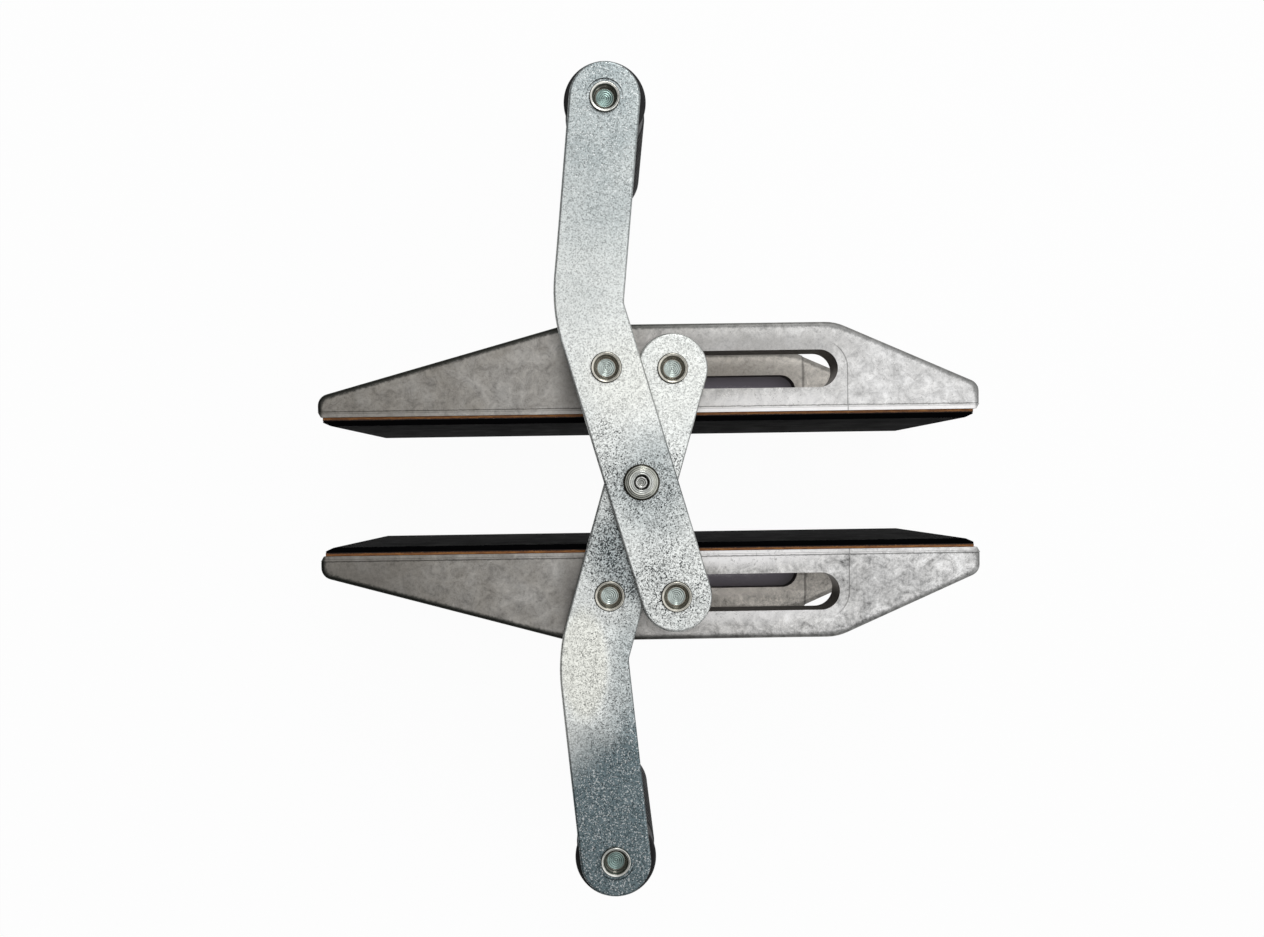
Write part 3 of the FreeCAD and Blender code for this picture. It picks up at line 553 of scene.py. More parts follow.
@dataclass(frozen=True)
class BlastedZinc(Finish):
    """Steel bar, shot blasted and then bright zinc plated.

    Each dent of the shot is a small facet with its own tone, and white facets are
    painted glints that stand in for facets catching the light. Where the shot hit
    hardest, dark pits show through. Where hands and weather wore it dull, and where
    painted shade darkens it, the plating is darker and has more painted glints.
    Burnish patches are partly burnish and partly a painted sheen, and the rims and
    sides are darkened as painted shade.
    The facets are drawn about as coarse as the largest dents, or none would show.
    """

    pitted: tuple[Patch, ...]
    dulled_and_shaded: tuple[Patch, ...]
    burnish_and_sheen: tuple[Patch, ...]
    bright: str = "#eceeea"
    dull: str = "#76868a"
    warm: str = "#ebebe2"
    pit: str = "#1f2426"
    glint: str = "#fbfdfb"
    rim: str = "#34383a"
    facet_mm: float = 0.5
    cloud_mm: float = 17.0
    roughness: float = 0.42

    def paint(self, tree: Tree, place: Socket) -> Painting:
        """Plating, facets, painted glints, pits and painted rim shade, as Finish.paint gives them.
        """
        add = partial(add_node, tree)
        pitted = patches(tree, place, self.pitted)
        dulled_and_shaded = patches(tree, place, self.dulled_and_shaded)
        burnish_and_sheen = patches(tree, place, self.burnish_and_sheen)
        cloud = add("TexNoise", grain(place, self.cloud_mm, 5, 0.65))

        # the tone of the plating, darker where worn dull or painted as shade, and lighter where
        # burnish or a painted sheen lies
        uneven = add("Math.MULTIPLY_ADD", (cloud, 0.5, -0.19))
        dullness = add("Math.ADD", (uneven, dulled_and_shaded), use_clamp=True)
        colour = coats(tree, self.bright, (dullness, self.dull), (burnish_and_sheen, self.warm))

        # ragged facets, each with three chances drawn from its colour
        wander = add("TexNoise", grain(place, self.facet_mm * 1.7, 1), "Color")
        sway = self.facet_mm * 0.9 * MM
        ragged = add("VectorMath.MULTIPLY_ADD", (wander, (sway, sway, sway), place))
        facets = {"Vector": ragged, "Scale": scale_for(self.facet_mm)}
        first, second, third = add("SeparateColor", (add("TexVoronoi", facets, "Color"),), None)
        contrast = add("Math.MULTIPLY_ADD", (dulled_and_shaded, -0.3, -0.5))
        contrast = add("Math.MULTIPLY_ADD", (pitted, -0.35, contrast))
        tone = add("Math.MULTIPLY", (first, first))
        tone = add("Math.MULTIPLY_ADD", (tone, contrast, 1.17))
        colour = add("VectorMath.SCALE", {0: colour, "Scale": tone})

        # painted glints: bright facets, more of them where the plating is worn dull or shaded; dark
        # pits where it was hit hard
        shining = add("Math.MULTIPLY_ADD", (dulled_and_shaded, 0.17, 0.02))
        shining = add("Math.ADD", (shining, third))
        glints = add("MapRange", (shining, 1.0, 1.06, 0, 0.65))
        clumps = add("Math.MULTIPLY_ADD", (cloud, 0.75, -0.12))
        hit = add("Math.MULTIPLY_ADD", (clumps, pitted, 0.012))
        hit = add("Math.ADD", (hit, second))
        pits = add("MapRange", (hit, 1.0, 1.08, 0, 0.9))
        # painted shade on the rounded rims and the upright sides
        rims = rim_shade_share(tree, 0.985, 0.7, 0.42, 0.88)
        colour = coats(tree, colour, (glints, self.glint), (pits, self.pit), (rims, self.rim))
        rough = add("MapRange", (first, 0, 1, self.roughness - 0.08, self.roughness + 0.12))
        return ({**METAL, "Base Color": colour, "Roughness": rough},
                (Bump(first, 0.4, 0.04), Bump(pits, 0.6, 0.08, True)))


@dataclass(frozen=True)
class CastAluminium(Finish):
    """Gravity cast aluminium, left as it came from the mould and tumbled.

    The skin is dull and cloudy. Cool metal has left flow lines that wander like
    coasts, the lip beside the pad is rubbed bright towards the slots' far ends, and
    the mould's slot insert shows as a line. Painted shade darkens the rims, a band
    inside the outline, the slots' walls, the channel's inside and spots beside the
    arms, and the skin is painted darker to the left.
    """

    base_level: float
    lip_top: float
    pivot_level: float
    slot_from: float
    slot_to: float
    slot_half: float
    channel_front: float
    borders: tuple[Point, ...]
    rubbed: tuple[Patch, ...]
    grime_and_shadow_patches: tuple[Patch, ...]
    insert_gap: float = 4.7 * MM
    outline_shade_wide: float = 3.3 * MM
    outline_shade_full: float = 1.8 * MM
    pale: str = "#e5e4e2"
    warm: str = "#9b968e"
    stain: str = "#4b4843"
    inside: str = "#ddd6cc"
    shadowed: str = "#6e6964"
    lip: str = "#f8f6f4"
    line: str = "#3f3c3a"
    rim: str = "#2c2e2a"
    cloud_mm: float = 19.0
    blotch_mm: float = 6.0
    skin_mm: float = 1.8
    roughness: float = 0.47

    def skin(self, tree: Tree, place: Socket, x: Socket) -> tuple[Socket, Socket]:
        """The bare skin, warmer to the left and painted darker there as shade, crusted at the lower
        right.

        Args:
            tree: The material's nodes.
            place: The object coordinates.
            x: The first of them.

        Returns:
            The colour, and the height that its crust gives.
        """
        add = partial(add_node, tree)
        cloud = add("TexNoise", grain(place, self.cloud_mm, 9, 0.62, 0.5))
        crust = add("TexNoise", grain(place, self.skin_mm, 7, 0.74))
        blotch = add("TexNoise", grain(place, self.blotch_mm, 6, 0.68, 0.8))
        # painted shade: the skin turns warmer and darker to the left and at the far left tip, where
        # less light falls
        left = add("MapRange", (x, 120 * MM, -50 * MM, 0, 0.76))
        tip = add("MapRange", (x, -60 * MM, -135 * MM, 0, 0.19))
        left = add("Math.ADD", (left, tip))
        warmth = add("Math.MULTIPLY_ADD", (cloud, 0.7, -0.3))
        warmth = add("Math.ADD", (warmth, left), use_clamp=True)
        colour = coats(tree, self.pale, (warmth, self.warm))
        crusted = Patch(120, -60, 150, 45, 1.0).share(tree, place)
        gain = add("Math.MULTIPLY_ADD", (crusted, 1.1, 1.5))
        shade = add("Math.ADD", (blotch, crust))
        shade = add("Math.SUBTRACT", (shade, 1.0))
        shade = add("Math.MULTIPLY_ADD", (shade, gain, 0.97))
        colour = add("VectorMath.SCALE", {0: colour, "Scale": shade})

        # flow lines broken up by the crust, stains, grime in streaks, and painted shadow beside the
        # arms
        coasts = band(tree, cloud, 0.5, 0.001, 0.008)
        broken = add("MapRange", (crust, 0.44, 0.58, 0, 0.5))
        flow = add("Math.MULTIPLY", (coasts, broken))
        stains = add("MapRange", (crust, 0.57, 0.69, 0, 0.5))
        dark = add("Math.MAXIMUM", (flow, stains))
        streaked = add("MapRange", (blotch, 0.36, 0.56, 0.25, 1.0))
        grime_and_shadow = add("Math.MULTIPLY", (patches(tree, place, self.grime_and_shadow_patches), streaked))
        dark = add("Math.MAXIMUM", (dark, grime_and_shadow))
        rubbed = patches(tree, place, self.rubbed)
        return coats(tree, colour, (rubbed, self.lip), (dark, self.stain)), crust

    def slot_marks(self, tree: Tree, x: Socket, z: Socket,
                   across: Socket) -> tuple[Socket, Socket]:
        """The slot's wall, painted dark as shade, and the line of the mould's insert round its end.

        The distance from the slot's middle line is the length of (x - x held
        between the slot's ends, y - the pivot's y).

        Args:
            tree: The material's nodes.
            x: The first of the object coordinates.
            z: The third of them.
            across: The distance from the clamp's long axis.

        Returns:
            The share of the wall's painted shade, and the line's share.
        """
        add = partial(add_node, tree)
        held = add("Clamp", (x, self.slot_from, self.slot_to))
        beside = add("Math.SUBTRACT", (x, held))
        above = add("Math.SUBTRACT", (across, self.pivot_level))
        away = add("VectorMath.LENGTH", (add("CombineXYZ", (beside, above)),), "Value")
        wall = band(tree, away, self.slot_half, 0.1 * MM, 0.15 * MM)
        reach = self.slot_half + self.insert_gap
        arc = band(tree, away, reach, 0.05 * MM, 0.4 * MM)
        outer = add("Math.GREATER_THAN", (above, 0.0))
        right = add("MapRange", (beside, 0.3 * reach, 0.8 * reach, 0, 1))
        arc = add("Math.MULTIPLY", (arc, outer))
        arc = add("Math.MULTIPLY", (arc, right))
        drop = band(tree, beside, reach, 0.05 * MM, 0.4 * MM)
        inner = add("Math.SUBTRACT", (1.0, outer))
        drop = add("Math.MULTIPLY", (drop, inner))
        mark = add("Math.MAXIMUM", (arc, drop))
        behind = add("Math.LESS_THAN", (z, self.channel_front))
        step = band(tree, beside, reach, 0.5 * MM, 0.5 * MM)
        return wall, add("Mix", {0: behind, 2: mark, 3: step}, data_type="FLOAT")

    def outline_shade_band(self, tree: Tree, x: Socket, across: Socket, crust: Socket,
                       facing: Socket) -> Socket:
        """A band of painted shade just inside the walls' outline, where the rims round off.

        A border (a, b, c) is a straight side of the outline. The distance inwards
        from it is a x + b |y| + c, and the least of these, blended at the corners,
        is the distance from the outline.

        Args:
            tree: The material's nodes.
            x: The first of the object coordinates.
            across: The distance from the clamp's long axis.
            crust: The skin's noise, which makes the band ragged.
            facing: The normal's height.

        Returns:
            The band's share.
        """
        add = partial(add_node, tree)
        spot = add("CombineXYZ", (x, across, 1.0))
        away = [add("VectorMath.DOT_PRODUCT", (spot, border), "Value") for border in self.borders]
        inwards = reduce(lambda one, two: add("Math.SMOOTH_MIN", (one, two, 6 * MM)), away)
        inwards = add("Math.MULTIPLY_ADD", (crust, 2.4 * MM, inwards))
        inwards = add("Math.SUBTRACT", (inwards, 1.2 * MM))
        share = add("MapRange", (inwards, self.outline_shade_wide, self.outline_shade_full, 0, 0.88), **EASED)
        broad = add("Math.ABSOLUTE", (facing,))
        broad = add("MapRange", (broad, 0.3, 0.7, 0, 1))
        return add("Math.MULTIPLY", (share, broad))

    def paint(self, tree: Tree, place: Socket) -> Painting:
        """Skin, painted shade in the channel, lip, lines, painted rim shade and painted shade on
        the slot walls, as Finish.paint gives them.
        """
        add = partial(add_node, tree)
        x, y, z = add("SeparateXYZ", (place,), None)
        across = add("Math.ABSOLUTE", (y,))
        colour, crust = self.skin(tree, place, x)

        # painted shade: faces turned to the front inside the channel are darkened by the inside
        # tint
        deep = add("MapRange", (z, self.channel_front, self.channel_front - 5 * MM, 0, 1))
        facing = add("SeparateXYZ", (add("NewGeometry", out="Normal"),), 2)
        faces_front = add("MapRange", (facing, 0.5, 0.9, 0, 0.75))
        deep = add("Math.MULTIPLY", (deep, faces_front))
        colour = add("Mix", {0: deep, 6: colour, 7: linear(self.inside)}, 2, data_type="RGBA",
                     blend_type="MULTIPLY")

        # the lip, rubbed bright to the right, and the fine lines above it
        lip_half = (self.lip_top - self.base_level) / 2
        lip = band(tree, across, self.base_level + 0.7 * lip_half, 0.7 * lip_half, 0.4 * MM)
        for worn in ((x, -20 * MM, 70 * MM, 0.08, 1.0), (y, -1 * MM, 1 * MM, 0.35, 1.0)):
            lip = add("Math.MULTIPLY", (lip, add("MapRange", worn)))
        wavering = add("Math.MULTIPLY_ADD", (crust, 1.2 * MM, -0.6 * MM))
        wavering = add("Math.ADD", (wavering, across))
        seam = band(tree, wavering, self.lip_top + 0.1 * MM, 0.08 * MM, 0.35 * MM)
        scored = band(tree, across, self.lip_top - 0.9 * MM, 0.02 * MM, 0.25 * MM)
        scored = add("Math.MULTIPLY", (scored, 0.6))
        wall, mark = self.slot_marks(tree, x, z, across)
        mark = add("Math.MAXIMUM", (mark, seam))
        mark = add("Math.MAXIMUM", (mark, scored))
        faint = add("Math.MULTIPLY", (mark, 0.5))

        # painted shade on the rims and a band inside the outline, stronger to the left, and on the
        # slots' upright walls
        rims = rim_shade_share(tree, 0.9985, 0.97, 0.95, 0.6)
        border = self.outline_shade_band(tree, x, across, crust, facing)
        rims = add("Math.MAXIMUM", (rims, border))
        fading = add("MapRange", (x, -40 * MM, 60 * MM, 1.0, 0.62))
        rims = add("Math.MULTIPLY", (rims, fading))
        upright = add("MapRange", (facing, 0.6, 0.2, 0, 0.9))
        wall = add("Math.MULTIPLY", (wall, upright))
        colour = coats(tree, colour, (lip, self.lip), (faint, self.line), (rims, self.rim),
                       (wall, self.shadowed))
        rough = add("MapRange", (crust, 0.3, 0.7, self.roughness - 0.08, self.roughness + 0.12))
        return ({**METAL, "Base Color": colour, "Roughness": rough},
                (Bump(crust, 0.5, 0.12), Bump(mark, 0.6, 0.12, True)))


@dataclass(frozen=True)
class TurnedMetal(Finish):
    """Metal turned in a lathe, plated or bare.

    The tool leaves rings round the axis, drawn somewhat coarser than they are,
    which pull the light into a fan. The zones paint the outer edge and the walls of
    cups, grooves and sockets dark as painted shade, and on the screw the flat and
    the socket floor light as painted highlights; the plating is faintly green on
    drilled floors. A zone is a radius in millimetres and the colour inside it.
    """

    edge: str
    zones: tuple[tuple[float, str], ...]
    roughness: float = 0.22
    lathe_mm: float = 0.95

    def paint(self, tree: Tree, place: Socket) -> Painting:
        """Zones of colour, painted shade and highlight, stains and the tool's rings, as
        Finish.paint gives them.
        """
        add = partial(add_node, tree)
        radius = add("Attribute", out="Fac", attribute_name="from_axis")
        stain = add("TexNoise", grain(place, 2.6, 5, 0.7))
        ragged = add("Math.MULTIPLY_ADD", (stain, 0.5, -0.25))
        ragged = add("Math.ADD", (ragged, radius))
        layers = [(add("MapRange", (ragged, border + 0.15, border - 0.15, 0, 1)), tint)
                  for border, tint in self.zones]
        shade = add("MapRange", (stain, 0.3, 0.7, 0.72, 1.15))
        colour = add("VectorMath.SCALE", {0: coats(tree, self.edge, *layers), "Scale": shade})
        rings = add("Math.SINE", (add("Math.MULTIPLY", (radius, 2 * math.pi / self.lathe_mm)),))
        rough = add("MapRange", (stain, 0.3, 0.7, self.roughness - 0.06, self.roughness + 0.1))
        outward = add("Attribute", out="Vector", attribute_name="outward")
        outward = add("VectorTransform", (outward,), vector_type="VECTOR", convert_from="OBJECT",
                      convert_to="WORLD")
        return ({**METAL, "Anisotropic": 0.8, "Base Color": colour, "Roughness": rough,
                 "Tangent": outward}, (Bump(rings, 1.0, 0.06), Bump(stain, 0.3, 0.05)))


@dataclass(frozen=True)
class PlainMetal(Finish):
    """Small steel, bronze or nylon pieces: a little grain, a little staining."""

    colour: str
    shade: str
    roughness: float = 0.35
    metallic: float = 1.0

    def paint(self, tree: Tree, place: Socket) -> Painting:
        """One stain over one colour, as Finish.paint gives them."""
        add = partial(add_node, tree)
        stain = add("TexNoise", grain(place, 2.5, 5, 0.7))
        share = add("MapRange", (stain, 0.35, 0.68, 0, 1))
        rough = add("MapRange", (stain, 0.3, 0.7, self.roughness - 0.07, self.roughness + 0.1))
        return ({"Metallic": self.metallic, "Roughness": rough,
                 "Base Color": coats(tree, self.colour, (share, self.shade))},
                (Bump(stain, 0.3, 0.04),))


@dataclass(frozen=True)
class BlackRubber(Finish):
    """Moulded black rubber, matt, with a bloom of pale dust in its pores."""

    black: str = "#040405"
    dust: str = "#0c0c0d"
    pore_mm: float = 0.9
    roughness: float = 0.85
    gloss: float = 0.02

    def paint(self, tree: Tree, place: Socket) -> Painting:
        """Rubber, pores and dust, as Finish.paint gives them."""
        add = partial(add_node, tree)
        pores = add("TexNoise", grain(place, self.pore_mm, 3, 0.7))
        cloud = add("TexNoise", grain(place, 14.0, 4, 0.6))
        share = add("MapRange", (add("Math.MULTIPLY", (pores, cloud)), 0.22, 0.45, 0, 0.4))
        rough = add("MapRange", (cloud, 0.3, 0.7, self.roughness - 0.1, self.roughness + 0.12))
        return ({"IOR": 1.5, "Specular IOR Level": self.gloss, "Roughness": rough,
                 "Base Color": coats(tree, self.black, (share, self.dust))},
                (Bump(pores, 0.35, 0.08),))


@dataclass(frozen=True)
class RubberisedCloth(Finish):
    """Brown cloth and rubber backing, cut on its edge.

    The cut shows thin plies along the jaw, a dark line where it is glued to the
    black pad, and pale crumbs of rubber along that line.
    """

    glue_level: float
    brown: str = "#7d4f2b"
    pale: str = "#b0763f"
    dark: str = "#1d100a"
    crumb: str = "#b9b2a6"
    ply_mm: float = 0.55
    roughness: float = 0.8

    def paint(self, tree: Tree, place: Socket) -> Painting:
        """Plies, glue and crumbs, as Finish.paint gives them."""
        add = partial(add_node, tree)
        stretched = add("Mapping", {"Vector": place, "Scale": (0.12, 1.0, 0.3)})
        plies = add("TexNoise", grain(stretched, self.ply_mm, 3, 0.6))
        fibre = add("TexNoise", grain(place, 0.9, 4, 0.7))
        lighter = add("MapRange", (plies, 0.4, 0.68, 0, 1))
        across = add("Math.ABSOLUTE", (add("SeparateXYZ", (place,), 1),))
        ragged = add("Math.MULTIPLY_ADD", (fibre, 1.1 * MM, -0.55 * MM))
        level = add("Math.ADD", (across, ragged))
        start, end = self.glue_level + 0.85 * MM, self.glue_level + 0.2 * MM
        glued = add("MapRange", (level, start, end, 0, 1), **EASED)
        crumbs = add("Math.MULTIPLY", (add("MapRange", (fibre, 0.66, 0.74, 0, 1)), glued))
        colour = coats(tree, self.brown, (lighter, self.pale), (glued, self.dark),
                       (crumbs, self.crumb))
        return ({"IOR": 1.5, "Roughness": self.roughness, "Base Color": colour},
                (Bump(fibre, 0.5, 0.1),))


def dress(piece: Piece, material: Material) -> None:
    """Give an object one material in its first slot."""
    if piece.data.materials:
        piece.data.materials[0] = material
    else:
        piece.data.materials.append(material)


def dress_node(node: str, material: Material) -> None:
    """Give a CAD node its material, in each of its slots."""
    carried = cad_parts[node]
    for slot in carried.material_slots:
        slot.material = material


def middle_of(node: str) -> tuple[float, float]:
    """The x and y of the middle of a CAD node's box."""
    low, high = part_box(node)
    return (low.x + high.x) / 2, (low.y + high.y) / 2


def settle(piece: Piece, material: Material, body: str, node: str) -> Piece:
    """Dress a finished piece and tie it to its body and slot, in place of a CAD node."""
    dress(piece, material)
    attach(piece, body)
    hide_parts(node)
    return piece


# Sub-assemblies

@dataclass
class Jaw:
    """A cast jaw with its backing and its rubber pad."""

    side: Side
    bevel_run: float = 4.0 * MM
    bevel_rise: float = 1.8 * MM
    pad_rim: float = 0.5 * MM
    backing_rim: float = 0.15 * MM

    @property
    def body(self) -> str:
        """The moving body that the jaw belongs to."""
        return self.side.word + "_jaw"

    def corners(self, node: str, bevelled: bool) -> np.ndarray:
        """The outline of a facing layer, read from its CAD node.

        Args:
            node: The CAD node.
            bevelled: Whether the ends are bevelled on the gripping side.

        Returns:
            Corner points, counter-clockwise.
        """
        low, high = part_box(node)
        if not bevelled:
            return np.array([[low.x, low.y], [high.x, low.y], [high.x, high.y], [low.x, high.y]])
        run, rise = self.bevel_run, self.bevel_rise
        shape = np.array([
            [low.x + run, low.y], [high.x - run, low.y], [high.x, low.y + rise],
            [high.x, high.y], [low.x, high.y], [low.x, low.y + rise],
        ])
        if self.side is Side.LOWER:
            shape[:, 1] = low.y + high.y - shape[:, 1]
            shape = shape[::-1]
        return shape

    def build_casting(self, material: Material) -> Piece:
        """The casting, with its flats and rounds smoothed."""
        node = self.body + "_casting"
        piece = smooth_copy(self.body + "_channel", node)
        return settle(piece, material, self.body, node)

    def build_backing(self, material: Material) -> Piece:
        """The brown backing between the casting and the rubber."""
        node = self.side.word + "_pad_backing"
        low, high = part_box(node)
        piece = plate_piece(self.side.word + "_backing_plies", self.corners(node, False),
                            low.z, high.z, self.backing_rim)
        return settle(piece, material, self.body, node)

    def build_rubber(self, material: Material) -> Piece:
        """The rubber pad, bevelled at both ends."""
        node = self.side.word + "_rubber_pad"
        low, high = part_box(node)
        piece = plate_piece(self.side.word + "_pad_rubber", self.corners(node, True),
                            low.z, high.z, self.pad_rim)
        return settle(piece, material, self.body, node)


@dataclass(frozen=True)
class HeadShape:
    """The sizes of a riveted head: a rolled ring round a drilled cup."""

    ring_outer: float
    ring_rise: float = 1.2 * MM
    crest_inner: float = 6.1 * MM
    cup_mouth: float = 5.5 * MM
    cup_floor: float = 4.3 * MM
    cup_deep: float = 2.6 * MM
    cone_deep: float = 0.8 * MM

    def turned(self, node: str, points: list[tuple[float, float]], cuts: list[float]) -> Piece:
        """Spin a shank's corners, with this head's above them.

        Args:
            node: The CAD node, whose top is the crest of the head's ring.
            points: Radius and height of the shank's corners, from its point up.
            cuts: How far each of them is rounded.

        Returns:
            The turned piece.
        """
        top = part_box(node)[1].z
        seat, floor = top - self.ring_rise, top - self.cup_deep
        corners = np.array(points + [
            (points[-1][0], seat), (self.ring_outer, seat), (self.ring_outer, top),
            (self.crest_inner, top), (self.cup_mouth, seat),
            (self.cup_floor + 0.25 * MM, floor), (self.cup_floor - 0.3 * MM, floor),
            (0.0, floor - self.cone_deep),
        ])
        head_cuts = [0.0, 0.15 * MM, 0.6 * MM, 0.45 * MM, 0.3 * MM, 0.25 * MM, 0.2 * MM, 0.0]
        profile = soften(corners, np.array(cuts + head_cuts), 7, False)
        return turned_piece(node + "_turned", middle_of(node), profile)


@dataclass
class Pin:
    """A riveted pin with grooves for its spring clips."""

    node: str
    body: str
    clips: tuple[str, ...]
    head: HeadShape = HeadShape(7.5 * MM)
    shank: float = 6.0 * MM
    point: float = 0.8 * MM
    groove_deep: float = 0.5 * MM

    def build(self, material: Material) -> Piece:
        """The pin as one turned surface."""
        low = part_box(self.node)[0]
        points = [(0.0, low.z), (self.shank - self.point, low.z),
                  (self.shank, low.z + self.point)]
        cuts = [0.0, 0.2 * MM, 0.2 * MM]
        for clip in self.clips:
            clip_low, clip_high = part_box(clip)
            inner = self.shank - self.groove_deep
            points += [(self.shank, clip_low.z), (inner, clip_low.z),
                       (inner, clip_high.z), (self.shank, clip_high.z)]
            cuts += [0.08 * MM] * 4
        piece = self.head.turned(self.node, points, cuts)
        return settle(piece, material, self.body, self.node)


@dataclass
class CentreScrew:
    """The button head socket screw of the centre pivot."""

    node: str = "centre_screw"
    body: str = "rear_arm"
    shank: float = 5.0 * MM
    side: float = 2.0 * MM
    rise: float = 3.4 * MM
    flat: float = 6.0 * MM
    point: float = 0.6 * MM
    socket_corner: float = 6.0 * MM / math.sqrt(3)
    socket_deep: float = 2.6 * MM
    drill: float = 2.2 * MM
    drill_deep: float = 0.7 * MM
    socket_turn: float = math.radians(10)

    def build(self, material: Material) -> Piece:
        """The screw as one turned surface whose socket rows are hexagons."""
        low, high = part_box(self.node)
        outer = (high.x - low.x) / 2
        under = high.z - self.rise
        floor = high.z - self.socket_deep
        points = np.array([
            (0.0, low.z), (self.shank - self.point, low.z), (self.shank, low.z + self.point),
            (self.shank, under), (outer, under), (outer, under + self.side),
            (self.flat, high.z), (self.socket_corner + 0.35 * MM, high.z),
        ])
        cuts = np.array([0.0, 0.15, 0.15, 0.1, 0.3, 0.7, 0.7, 0.2]) * MM
        outside = soften(points, cuts, 6, False)
        corner = self.socket_corner
        inside = np.array([
            (corner + 0.12 * MM, high.z - 0.05 * MM), (corner, high.z - 0.3 * MM),
            (corner, high.z - 0.4 * MM), (corner, floor + 0.3 * MM), (corner, floor + 0.1 * MM),
            (corner - 0.1 * MM, floor), (corner - 0.35 * MM, floor),
            (self.drill + 0.1 * MM, floor - 0.02 * MM), (self.drill - 0.1 * MM, floor - 0.1 * MM),
            (0.0, floor - self.drill_deep),
        ])
        hexness = np.concatenate([np.zeros(len(outside)),
                                  [0.6, 1.0, 1.0, 1.0, 1.0, 1.0, 1.0, 0.0, 0.0, 0.0]])
        profile = np.concatenate([outside, inside])
        piece = turned_piece(self.node + "_turned", middle_of(self.node), profile, hexness,
                             self.socket_turn)
        return settle(piece, material, self.body, self.node)


@dataclass
class Handle:
    """A rod riveted into an arm's end, and the rubber grip over it."""

    side: Side
    body: str
    rod_outer: float = 9.0 * MM
    rod_shank: float = 6.0 * MM
    seat_outer: float = 8.85 * MM
    seat_deep: float = 0.7 * MM
    arm_thick: float = 6.0 * MM
    point: float = 0.8 * MM
    fit: float = 0.05 * MM
    ring_count: int = 14
    ring_start: float = 12.0 * MM
    ring_pitch: float = 6.4 * MM
    ring_thick: float = 3.2 * MM
    ring_outer: float = 20.0 * MM
    waist: float = 19.2 * MM
    tail_outer: float = 20.0 * MM
    tail_thick: float = 7.0 * MM
    flange_thick: float = 4.0 * MM
    edge: float = 1.4 * MM

    def build_rod(self, material: Material) -> Piece:
        """The rod, shouldered under the arm and riveted in its recess."""
        node = self.side.word + "_handle_rod"
        low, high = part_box(node)
        head = HeadShape(7.4 * MM)
        ring_seat = high.z - head.ring_rise
        arm_back = ring_seat + self.seat_deep - self.arm_thick
        points = [(0.0, low.z), (self.rod_outer - self.point, low.z),
                  (self.rod_outer, low.z + self.point), (self.rod_outer, arm_back),
                  (self.seat_outer, arm_back), (self.seat_outer, arm_back + self.seat_deep),
                  (self.rod_shank, arm_back + self.seat_deep)]
        cuts = [0.0, 0.3 * MM, 0.3 * MM, 0.05 * MM, 0.05 * MM, 0.1 * MM, 0.05 * MM]
        piece = head.turned(node, points, cuts)
        return settle(piece, material, self.body, node)

    def build_grip(self, material: Material) -> Piece:
        """The grip: a flange at the arm, soft rings along it and a closed end.

        The rings repeat at one pitch, so their corners are one ring's four corners
        added to the row of ring middles.
        """
        node = self.side.word + "_grip"
        low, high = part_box(node)
        outer = (high.x - low.x) / 2
        bore = self.rod_outer + self.fit
        rod_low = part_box(self.side.word + "_handle_rod")[0].z
        flange_low = high.z - self.flange_thick
        tail_top = low.z + self.tail_thick
        middles = low.z + self.ring_start + np.arange(self.ring_count) * self.ring_pitch
        half = self.ring_thick / 2
        heights = (middles[:, None] + np.array([-half, -half / 2, half / 2, half])).ravel()
        radii = np.tile([self.waist, self.ring_outer, self.ring_outer, self.waist], self.ring_count)
        start = np.array([(0.0, low.z), (self.tail_outer - 2 * self.edge, low.z),
                          (self.tail_outer, low.z + self.edge),
                          (self.tail_outer, tail_top - self.edge), (self.waist, tail_top)])
        finish = np.array([(self.waist, flange_low), (outer - self.edge, flange_low),
                           (outer, flange_low + self.edge), (outer, high.z - self.edge / 2),
                           (outer - self.edge / 2, high.z), (bore, high.z),
                           (bore, rod_low - self.fit), (0.0, rod_low - self.fit)])
        corners = np.concatenate([start, np.stack([radii, heights], axis=1), finish])
        cuts = np.concatenate([[0.0, 1.2, 1.2, 1.0, 1.0], np.full(len(radii), 0.6),
                               [1.0, 0.8, 0.8, 0.5, 0.5, 0.4, 0.1, 0.0]]) * MM
        piece = turned_piece(node + "_moulded", middle_of(node), soften(corners, cuts, 5, False))
        return settle(piece, material, self.body, node)


@dataclass
class Arm:
    """One of the two crossed arms."""

    node: str
    finish: BlastedZinc

    def build(self) -> Piece:
        """The arm, with its bends and rims smoothed."""
        piece = smooth_copy(self.node + "_bar", self.node)
        return settle(piece, self.finish.material(), self.node, self.node)


